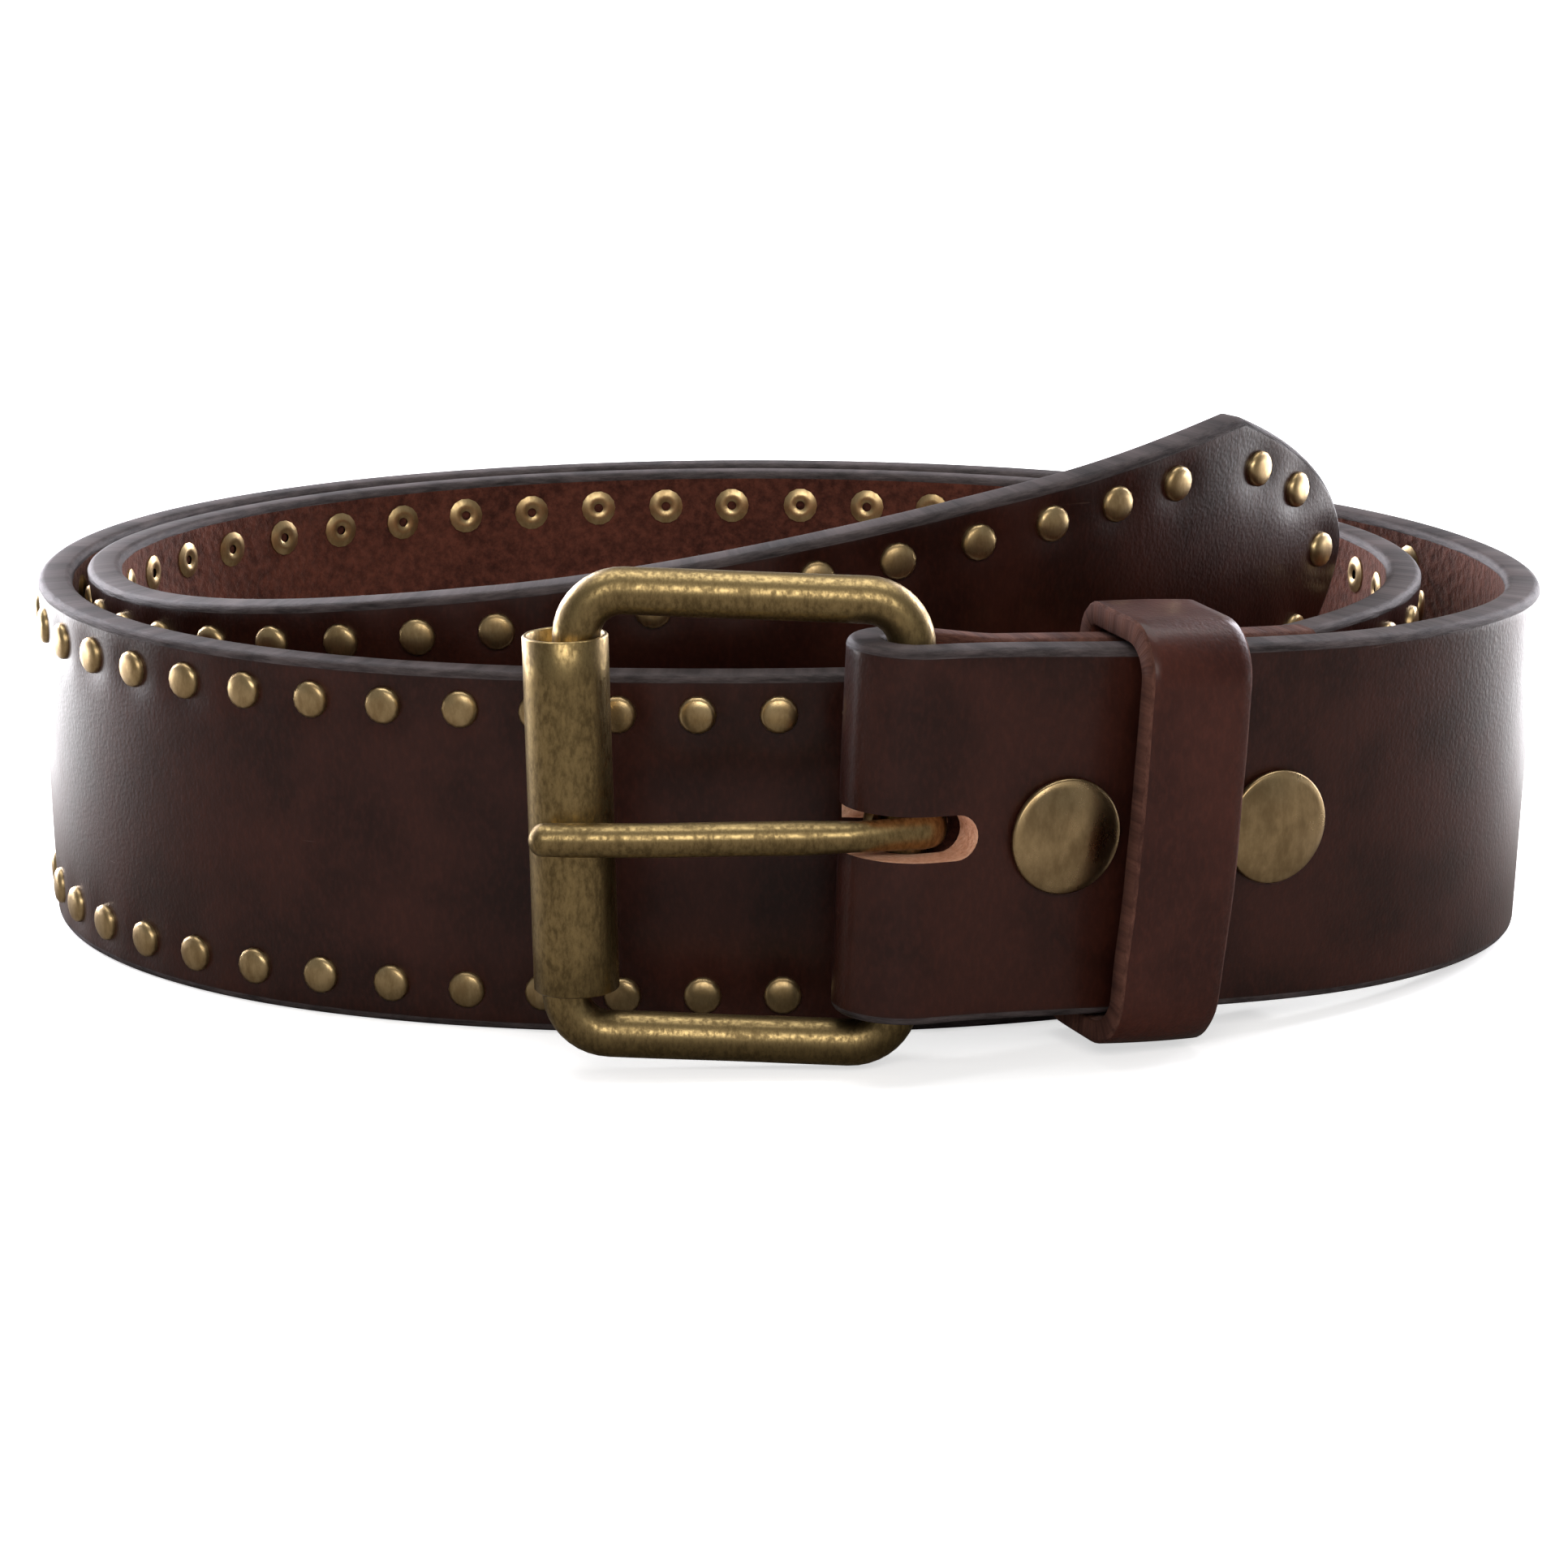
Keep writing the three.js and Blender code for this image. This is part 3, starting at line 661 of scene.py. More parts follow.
class Finishes:
    """Every material of the belt, made once."""

    def __init__(self) -> None:
        """Builds the shared effects and the materials."""
        fx = Effects()
        self.grain = GrainLeather("brown_grain", (0.016, 0.0042, 0.0026), (0.04, 0.0092, 0.0048)).make(fx)
        self.keeper = GrainLeather("keeper_grain", (0.026, 0.0062, 0.0038), (0.06, 0.014, 0.0075), lip=1.0).make(fx)
        self.edge = FibreLeather(
            "burnished_edge", (0.012, 0.0085, 0.0085), (0.075, 0.058, 0.057), 0.6 * MM, 0.16 * MM, 0.62, 0.16
        ).make(fx)
        self.flesh = FibreLeather(
            "flesh_side", (0.034, 0.0085, 0.005), (0.125, 0.037, 0.022), 1.2 * MM, 0.42 * MM, 0.9, sheen=0.25
        ).make(fx)
        # raw_cut: the tan of cut leather, made paler than the leather is. This painted light lifts the cut faces in the
        # slot and holes out of their shade.
        self.raw_and_painted_light = FibreLeather("raw_cut", (0.62, 0.3, 0.18), (0.9, 0.56, 0.38), 0.6 * MM, 0.2 * MM, 0.85).make(fx)
        self.frayed = FibreLeather(
            "frayed_cut", (0.035, 0.012, 0.0085), (0.12, 0.05, 0.034), 0.6 * MM, 0.3 * MM, 0.9, 0.4
        ).make(fx)
        self.buckle = AgedBrass("antique_brass", (0.17, 0.12, 0.052), (0.37, 0.27, 0.12), 0.55 * MM).make(fx)
        self.cap = AgedBrass(
            "spun_cap_brass", (0.34, 0.24, 0.12), (0.52, 0.38, 0.2), 1.6 * MM, 0.006 * MM, (0.34, 0.27), 0.75
        ).make(fx)
        self.rivet = AgedBrass(
            "rivet_brass", (0.36, 0.25, 0.12), (0.56, 0.42, 0.22), 1.3 * MM, 0.01 * MM, (0.42, 0.32)
        ).make(fx)
        # rivet_hollow: near-black, a painted shade standing in for the shadow that falls inside each rivet's rolled
        # tube end.
        self.hollow = AgedBrass("rivet_hollow", (0.008, 0.006, 0.005), (0.02, 0.015, 0.01)).make(fx)
        self.steel = Wire().make(fx)


# ---------------------------------------------------------------- the strap


@dataclass
class RivetRows:
    """The places of the edge rivets, as (station, across), in metres."""

    route: Route
    inset: float = 4.4 * MM
    runs: tuple[tuple[float, int], ...] = ((137.8, 38), (462.4, 22), (651.2, 31))  # start in mm, spaces
    last: float = 920.5
    point: tuple[tuple[float, float], ...] = ((2.5, 13.2), (2.5, -13.2), (9.8, 8.6), (9.8, -8.6), (15.2, 0.0))
    shoulder: float = 931.5

    def places(self) -> np.ndarray:
        """Station and across of every rivet."""
        ends = [start for start, _ in self.runs[1:]] + [self.last]
        stations = [
            start + (end - start) * i / spaces for (start, spaces), end in zip(self.runs, ends) for i in range(spaces)
        ] + [self.last]
        row = self.route.width / 2 / MM - self.inset / MM
        found = [(s, side * row) for s in stations for side in (1, -1)]
        found += [(self.shoulder + past, across) for past, across in self.point]
        return np.array(found) * MM


@dataclass
class Strap:
    """The strap: a flap, the fold round the buckle's heel bar, and the long run to the point."""

    route: Route
    rivets: RivetRows
    flap_end: float = 56 * MM
    fold_run: float = 9.4 * MM  # how far past the heel bar's middle the two layers come together
    point_length: float = 19.5 * MM
    point_fullness: float = 8.5 * MM
    layer_gap: float = 0.3 * MM
    fold_clearance: float = 0.35 * MM
    heel_wire: float = 2.5 * MM
    corner: float = 0.9 * MM
    ring_step: float = 1.0 * MM
    face_rows: tuple[float, ...] = (
        0, 3.5, 6.5, 9, 10.9, 12.1, 12.9, 13.6, 14.3, 15, 15.6, 16.2, 16.9, 17.6, 18.3, 19.1,
    )  # millimetres off the middle, closer together along the rivets
    dimple: float = 0.45 * MM
    dimple_spread: float = 2.7 * MM
    slot_height: float = 4.9 * MM
    slot_reach: float = 5.1 * MM
    adjusting: tuple[int, float, float, float] = (5, 25 * MM, 95 * MM, 2.4 * MM)  # count, spacing, from end, radius
    studs: tuple[float, float] = (24.4 * MM, 49.5 * MM)
    fold_axes: Axes = field(init=False)

    def __post_init__(self) -> None:
        """Works out the fold."""
        self.fold_axes = self.route.axes(self.route.heel_station)
        self.fold_radius = self.heel_wire + self.fold_clearance + self.route.leather / 2
        self.heel = self.fold_axes.point(-self.fold_radius, 0.0)

    def half_width(self, station: np.ndarray) -> np.ndarray:
        """Half the strap's width at each station: full, then the curve of the point."""
        past = (station - (self.route.length - self.point_length)) / self.point_length
        t = 1 - np.sqrt(np.clip(1 - past, 0, 1))
        half = self.route.width / 2
        return np.where(past <= 0, half, half * (1 - t) ** 2 + 2 * self.point_fullness * t * (1 - t))

    def flap_depth(self, station: float) -> float:
        """How far the flap's middle lies behind the strap's middle."""
        wide = self.route.leather + 2 * (self.heel_wire + self.fold_clearance)
        close = self.route.leather + self.layer_gap
        t = min(max((station - self.route.heel_station) / self.fold_run, 0.0), 1.0)
        return close + (wide - close) * (1 - t * t * (3 - 2 * t))

    def section(self) -> tuple[np.ndarray, np.ndarray, np.ndarray, np.ndarray]:
        """The strap's section, from the lower front corner round the back.

        Returns:
            For each point its share of the flat half width, how far past that it lies, and how far outwards, and
            for each side of the loop which finish it has: 0 for the grain, 1 for an edge, 2 for the flesh side.
        """
        r = self.corner
        flat = self.route.width / 2 - r
        half = self.route.leather / 2
        rows = sorted({side * row for row in self.face_rows for side in (-1, 1)})
        turns = [math.radians(a) for a in (22.5, 45, 67.5)]
        loop: list[tuple[float, float, float, int]] = []
        for row in reversed(rows):
            loop.append((row * MM / flat, 0.0, half, 0))
        loop[-1] = (*loop[-1][:3], 1)
        loop += [(-1.0, -r * math.sin(a), half - r + r * math.cos(a), 1) for a in turns]
        loop += [(-1.0, -r, half - r, 1), (-1.0, -r, 0.0, 1), (-1.0, -r, r - half, 1)]
        loop += [(-1.0, -r * math.cos(a), r - half - r * math.sin(a), 1) for a in turns]
        for row in rows:
            loop.append((row * MM / flat, 0.0, -half, 2))
        loop[-1] = (*loop[-1][:3], 1)
        loop += [(1.0, r * math.sin(a), r - half - r * math.cos(a), 1) for a in turns]
        loop += [(1.0, r, r - half, 1), (1.0, r, 0.0, 1), (1.0, r, half - r, 1)]
        loop += [(1.0, r * math.cos(a), half - r + r * math.sin(a), 1) for a in turns]
        table = np.array(loop)
        return table[:, 0], table[:, 1], table[:, 2], table[:, 3].astype(int)

    def relief(self, station: np.ndarray, across: np.ndarray, front: bool) -> np.ndarray:
        """How far the surface sinks at each point into the dimples round the rivets.

        Args:
            station: stations of the points.
            across: their places across the strap.
            front: True on the grain side.

        Returns:
            Depths in metres, measured inwards from the flat face.
        """
        sink = np.zeros_like(station)
        spread = self.dimple_spread if front else 0.9 * self.dimple_spread
        for s, a in self.rivets.places():
            near = np.abs(station - s) < 3 * spread
            gap = np.hypot(station[near] - s, across[near] - a)
            sink[near] = np.maximum(sink[near], np.exp(-((gap / spread) ** 2)))
        depth = self.dimple if front else 0.55 * self.dimple
        return depth * sink

    def sheet(self) -> bpy.types.Object:
        """The whole strap as one closed skin, before its holes are cut."""
        share, past, outwards, finish = self.section()
        half = self.route.width / 2
        rings: list[np.ndarray] = []
        u: list[float] = []

        def ring(axes: Axes, depth: float, sign: float, half_width: float, station: float) -> None:
            across = share * (half_width - self.corner) + past
            here = np.full_like(across, station)
            if sign > 0 and axes is not self.fold_axes:
                sink = np.where(
                    finish == 2, -self.relief(here, across, False), self.relief(here, across, True)
                ) * (np.abs(share) <= 1.001) * (np.abs(past) < 1e-9)
            else:
                sink = np.zeros_like(across)
            wave = np.array([noise.noise(Vector((station / 0.021, a / 0.017, 3.0 * sign))) for a in across])
            o = depth + sign * (outwards - sink + 0.1 * MM * wave)
            rings.append(axes.middle + np.outer(o, axes.out) + np.outer(across, axes.across))
            u.append(station)

        first = self.route.heel_station
        flap_steps = round((self.flap_end - first) / self.ring_step)
        for i in range(flap_steps, 0, -1):
            station = first + (self.flap_end - first) * i / flap_steps
            ring(self.route.axes(station), -self.flap_depth(station), -1.0, half, -station)
        fold_steps = 20
        for i in range(fold_steps + 1):
            turn = math.pi * (1 - i / fold_steps)
            out = self.fold_axes.out * math.cos(turn) - self.fold_axes.along * math.sin(turn)
            axes = Axes(self.heel, self.fold_axes.along, out, self.fold_axes.across)
            ring(axes, self.fold_radius, 1.0, half, first - self.fold_radius * turn)
        shoulder = self.route.length - self.point_length
        steps = round((shoulder - first) / self.ring_step)
        stations = [first + (shoulder - first) * i / steps for i in range(1, steps + 1)]
        tip_steps = 22
        stations += [shoulder + self.point_length * (1 - (1 - k / tip_steps) ** 2) for k in range(1, tip_steps)]
        stations = [s for s in stations if float(self.half_width(np.array(s))) > 1.25 * self.corner]
        for station in stations:
            ring(self.route.axes(station), 0.0, 1.0, float(self.half_width(np.array(station))), station)
        v = share * (half - self.corner) + past
        v = np.append(v, v[0])
        piece = skin("belt_strap", np.array(rings), np.array(u), v)
        sides = len(share)
        index = np.tile(finish, len(rings) - 1)
        index = np.append(index, (4, 1)).astype(np.int32)
        flap_faces = (flap_steps - 1) * sides
        index[:flap_faces] = np.where(index[:flap_faces] == 1, 4, index[:flap_faces])
        piece.data.polygons.foreach_set("material_index", index)
        return piece

    def cutters(self) -> bpy.types.Object:
        """Everything that is cut out of the strap, as one object of separate closed solids."""
        solids = []
        r = self.slot_height / 2
        bar = -14 * MM
        outline = [(bar, -r)] + arc((self.slot_reach - r, 0.0), r, -90, 90, 12) + [(bar, r)]
        depth = 14 * MM
        loop = np.array([(x, y) for x, y in outline])
        rings = []
        for k in range(9):
            z = -depth + 2 * depth * k / 8
            rings.append(
                self.heel
                + np.outer(loop[:, 0], self.fold_axes.along)
                + np.outer(loop[:, 1], self.fold_axes.across)
                + self.fold_axes.out * z
            )
        zeros = np.zeros(len(loop) + 1)
        solids.append(skin("slot", np.array(rings), np.arange(9.0), zeros))

        def drill(station: float, radius: float, low: float, high: float) -> None:
            hole = turned("hole", [(0, low), (radius, low), (radius, high), (0, high)], 28)
            solids.append(place(hole, self.route.axes(station).seat()))

        for station in self.studs:
            drill(station, 2.0 * MM, -3.0 * MM, 5.0 * MM)
            drill(station, 4.6 * MM, -8.0 * MM, -2.15 * MM)
        count, spacing, from_end, radius = self.adjusting
        for i in range(count):
            drill(self.route.length - from_end - i * spacing, radius, -5 * MM, 5 * MM)
        bm = bmesh.new()
        for solid in solids:
            smooth(solid)
            bm.from_mesh(solid.data)
            bpy.data.objects.remove(solid)
        mesh = bpy.data.meshes.new("cutters")
        bm.to_mesh(mesh)
        bm.free()
        cutter = bpy.data.objects.new("cutters", mesh)
        bpy.context.scene.collection.objects.link(cutter)
        return cutter

    def build(self, finishes: Finishes) -> bpy.types.Object:
        """Builds the strap, cuts its slot and holes, and dresses it."""
        piece = self.sheet()
        materials = (finishes.grain, finishes.edge, finishes.flesh, finishes.raw_and_painted_light, finishes.frayed)
        for material in materials:
            piece.data.materials.append(material)
        cutter = self.cutters()
        # The cut faces take the raw_cut material, which is partly cut-leather tan and partly painted light.
        cutter.data.materials.append(finishes.raw_and_painted_light)
        smooth(piece, 50)
        cut = piece.modifiers.new("cut", "BOOLEAN")
        cut.operation = "DIFFERENCE"
        cut.solver = "MANIFOLD"
        cut.material_mode = "TRANSFER"
        cut.object = cutter
        plain_mesh(piece)
        bpy.data.objects.remove(cutter)
        sharpen(piece, 50)
        finish_piece(piece, Body.STRAP, list(piece.data.materials), ("strap",))
        return piece


def plain_mesh(piece: bpy.types.Object) -> None:
    """Turns a piece's evaluated shape into its own plain mesh and clears its modifiers."""
    bpy.context.view_layer.update()
    graph = bpy.context.evaluated_depsgraph_get()
    mesh = bpy.data.meshes.new_from_object(piece.evaluated_get(graph), preserve_all_data_layers=True, depsgraph=graph)
    piece.modifiers.clear()
    old = piece.data
    piece.data = mesh
    mesh.name = piece.name
    bpy.data.meshes.remove(old)


def sharpen(piece: bpy.types.Object, angle: float) -> None:
    """Shades a piece smooth with sharp edges, leaving the way its faces point alone."""
    bm = bmesh.new()
    bm.from_mesh(piece.data)
    limit = math.radians(angle)
    for face in bm.faces:
        face.smooth = True
    for edge in bm.edges:
        edge.smooth = len(edge.link_faces) == 2 and edge.calc_face_angle(0.0) < limit
    bm.to_mesh(piece.data)
    bm.free()


# ---------------------------------------------------------------- edge rivets


@dataclass
class EdgeRivets:
    """The domed rivets along both edges of the strap and round its point, set by geometry nodes."""

    strap: Strap
    sides: int = 14
    cap: float = 2.08 * MM
    crown: float = 2.64 * MM
    flange: float = 2.15 * MM
    flange_crest: float = -2.36 * MM
    hollow: float = 0.55 * MM
    tilt: float = 3.0  # degrees, at most
    seed: int = 7

    def pattern(self) -> bpy.types.Object:
        """One rivet, turned about +Z: the cap in front, the rolled tube end with its hollow behind."""
        skirt = 1.3 * MM
        cap = [(0.0, skirt), (self.cap, skirt), (self.cap, 1.9 * MM), (0.95 * self.cap, 2.24 * MM),
               (0.78 * self.cap, 2.48 * MM), (0.4 * self.cap, 2.61 * MM), (0.0, self.crown)]
        ring = [(0.0, -1.1 * MM), (self.hollow, -1.1 * MM), (self.hollow * 1.05, -2.12 * MM),
                (1.05 * MM, self.flange_crest), (1.55 * MM, -2.3 * MM), (self.flange, -2.05 * MM),
                (self.flange, -1.0 * MM), (0.0, -1.0 * MM)]
        front = turned("cap", cap, self.sides)
        back = turned("ring", ring, self.sides)
        smooth(front, 60)
        smooth(back, 60)
        bm = bmesh.new()
        bm.from_mesh(front.data)
        bm.from_mesh(back.data)
        mesh = bpy.data.meshes.new("rivet_pattern")
        bm.to_mesh(mesh)
        bm.free()
        for part in (front, back):
            bpy.data.objects.remove(part)
        # The faces in the hollow are marked here. They later take the near-black material, a painted shade.
        hollow = mesh.attributes.new("hollow", "BOOLEAN", "FACE")
        for face in mesh.polygons:
            inner = -2.0 * MM < face.center.z < -1.05 * MM and math.hypot(face.center.x, face.center.y) < 0.68 * MM
            hollow.data[face.index].value = inner
        piece = bpy.data.objects.new("rivet_pattern", mesh)
        bpy.context.scene.collection.objects.link(piece)
        return piece

    def seats(self) -> bpy.types.Object:
        """A point for each rivet, with the strap's outward and along directions there."""
        places = self.strap.rivets.places()
        axes = self.strap.route.axes(places[:, 0])
        points = axes.middle + axes.across * places[:, 1:2]
        piece = mesh_object("edge_rivets", points, [])
        for label, values in (("out", axes.out), ("along", axes.along)):
            layer = piece.data.attributes.new(label, "FLOAT_VECTOR", "POINT")
            layer.data.foreach_set("vector", values.astype(np.float32).ravel())
        return piece

    @staticmethod
    def tree() -> bpy.types.NodeTree:
        """The node tree that sets a rivet on every seat, with a near-black painted shade on the faces in its hollow."""
        tree = bpy.data.node_groups.new("set_rivets", "GeometryNodeTree")
        face = tree.interface
        face.new_socket("Seats", in_out="INPUT", socket_type="NodeSocketGeometry")
        face.new_socket("Rivet", in_out="INPUT", socket_type="NodeSocketObject")
        face.new_socket("Tilt", in_out="INPUT", socket_type="NodeSocketFloat")
        face.new_socket("Seed", in_out="INPUT", socket_type="NodeSocketInt")
        face.new_socket("Brass", in_out="INPUT", socket_type="NodeSocketMaterial")
        face.new_socket("Hollow", in_out="INPUT", socket_type="NodeSocketMaterial")
        face.new_socket("Rivets", in_out="OUTPUT", socket_type="NodeSocketGeometry")
        n = Nodes(tree)
        given = n.add("NodeGroupInput").outputs
        out = n.add("GeometryNodeInputNamedAttribute", {"Name": "out"}, data_type="FLOAT_VECTOR").outputs[0]
        along = n.add("GeometryNodeInputNamedAttribute", {"Name": "along"}, data_type="FLOAT_VECTOR").outputs[0]
        facing = n.add("FunctionNodeAlignRotationToVector", {"Vector": out}, axis="Z")
        turned_to = n.add(
            "FunctionNodeAlignRotationToVector",
            {"Rotation": facing.outputs[0], "Vector": along},
            axis="X",
            pivot_axis="Z",
        )
        low = n.math("MULTIPLY", given["Tilt"], -1.0)
        spread = []
        for k in range(2):
            pick = n.add("FunctionNodeRandomValue", data_type="FLOAT")
            floats = [s for s in pick.inputs if s.type == "VALUE"]
            n.put(floats[0], low)
            n.put(floats[1], given["Tilt"])
            n.put(pick.inputs["Seed"], n.math("ADD", given["Seed"], float(k)))
            spread.append([s for s in pick.outputs if s.type == "VALUE"][0])
        lean = n.add("ShaderNodeCombineXYZ", {0: spread[0], 1: spread[1]}).outputs[0]
        leaning = n.add("FunctionNodeRotateRotation", {"Rotation": turned_to.outputs[0]}, rotation_space="LOCAL")
        n.put(leaning.inputs[1], n.add("FunctionNodeEulerToRotation", {0: lean}).outputs[0])
        rivet = n.add("GeometryNodeObjectInfo", {"Object": given["Rivet"]})
        points = n.add("GeometryNodeMeshToPoints", {0: given["Seats"]})
        set_on = n.add(
            "GeometryNodeInstanceOnPoints",
            {"Points": points.outputs[0], "Instance": rivet.outputs["Geometry"], "Rotation": leaning.outputs[0]},
        )
        real = n.add("GeometryNodeRealizeInstances", {0: set_on.outputs[0]})
        brass = n.add("GeometryNodeSetMaterial", {"Geometry": real.outputs[0], "Material": given["Brass"]})
        # Faces in the hollow take the near-black material: painted shade inside the tube end.
        inside = n.add("GeometryNodeInputNamedAttribute", {"Name": "hollow"}, data_type="BOOLEAN").outputs[0]
        dark = n.add(
            "GeometryNodeSetMaterial",
            {"Geometry": brass.outputs[0], "Selection": inside, "Material": given["Hollow"]},
        )
        n.add("NodeGroupOutput", {0: dark.outputs[0]})
        return tree

    def build(self, finishes: Finishes) -> bpy.types.Object:
        """Sets the rivets and dresses them."""
        pattern = self.pattern()
        piece = self.seats()
        modifier = piece.modifiers.new("rivets", "NODES")
        tree = self.tree()
        modifier.node_group = tree
        chosen = {"Rivet": pattern, "Tilt": math.radians(self.tilt), "Seed": self.seed,
                  "Brass": finishes.rivet, "Hollow": finishes.hollow}
        for item in tree.interface.items_tree:
            if item.in_out == "INPUT" and item.name in chosen:
                modifier[item.identifier] = chosen[item.name]
        plain_mesh(piece)
        bpy.data.objects.remove(pattern)
        # The near-black painted-shade material of the hollow becomes the second slot.
        hollow = piece.data.materials.find(finishes.hollow.name)
        for face in piece.data.polygons:
            face.material_index = int(face.material_index == hollow)
        nodes = sorted(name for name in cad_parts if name.startswith("rivet_"))
        finish_piece(piece, Body.STRAP, (finishes.rivet, finishes.hollow), nodes)
        return piece


# ---------------------------------------------------------------- press studs


@dataclass
class PressStuds:
    """The two press studs that hold the flap shut: cap, socket, stud and eyelet each."""

    strap: Strap
    sides: int = 64
    radius: float = 6.32 * MM
    face: float = 2.3 * MM

    def cap(self) -> list[tuple[float, float]]:
        """The cap's profile: a low cone with a rolled rim, on a short post."""
        r, f = self.radius, self.face
        post = [(0.0, -2.7 * MM), (1.6 * MM, -2.7 * MM), (1.6 * MM, f + 0.15 * MM), (r - 0.9 * MM, f + 0.1 * MM)]
        rim = arc((r - 0.5 * MM, f + 0.28 * MM), 0.48 * MM, -70, 62, 6)
        crown = []
        for k in range(1, 9):
            t = k / 8
            crown.append((rim[-1][0] * (1 - t), rim[-1][1] + (1.72 * MM - (rim[-1][1] - f)) * (1 - (1 - t) ** 1.7)))
        return post + rim + crown

    def build(self, finishes: Finishes) -> None:
        """Builds and dresses the pieces of both studs."""
        socket = [(1.9, -2.5), (1.9, -2.9), (2.75, -2.9), (2.75, -4.3), (4.2, -4.3), (4.2, -2.5)]
        stud = [(0, -5.2), (4.2, -5.2), (4.2, -4.6), (2.1, -4.6), (2.1, -4.1), (2.4, -3.6), (2.2, -3.1), (0, -3.1)]
        eyelet = [(0, -6.1), (1.7, -6.1), (1.9, -6.6), (2.4, -6.85), (4.8, -6.85), (5.45, -6.75), (5.6, -6.6),
                  (3.9, -6.55), (3.9, -5.5), (0, -5.5)]
        profiles = {
            "cap": self.cap(),
            "socket": [(r * MM, h * MM) for r, h in socket],
            "stud": [(r * MM, h * MM) for r, h in stud],
            "eyelet": [(r * MM, h * MM) for r, h in eyelet],
        }
        for i, station in enumerate(self.strap.studs, start=1):
            seat = self.strap.route.axes(station).seat()
            for part, profile in profiles.items():
                piece = turned(f"snap_{part}_{i}", profile, self.sides)
                smooth(piece, 50)
                place(piece, seat)
                finish_piece(piece, Body.STRAP, (finishes.cap,), (f"press_{part}_{i}",))


# ---------------------------------------------------------------- buckle


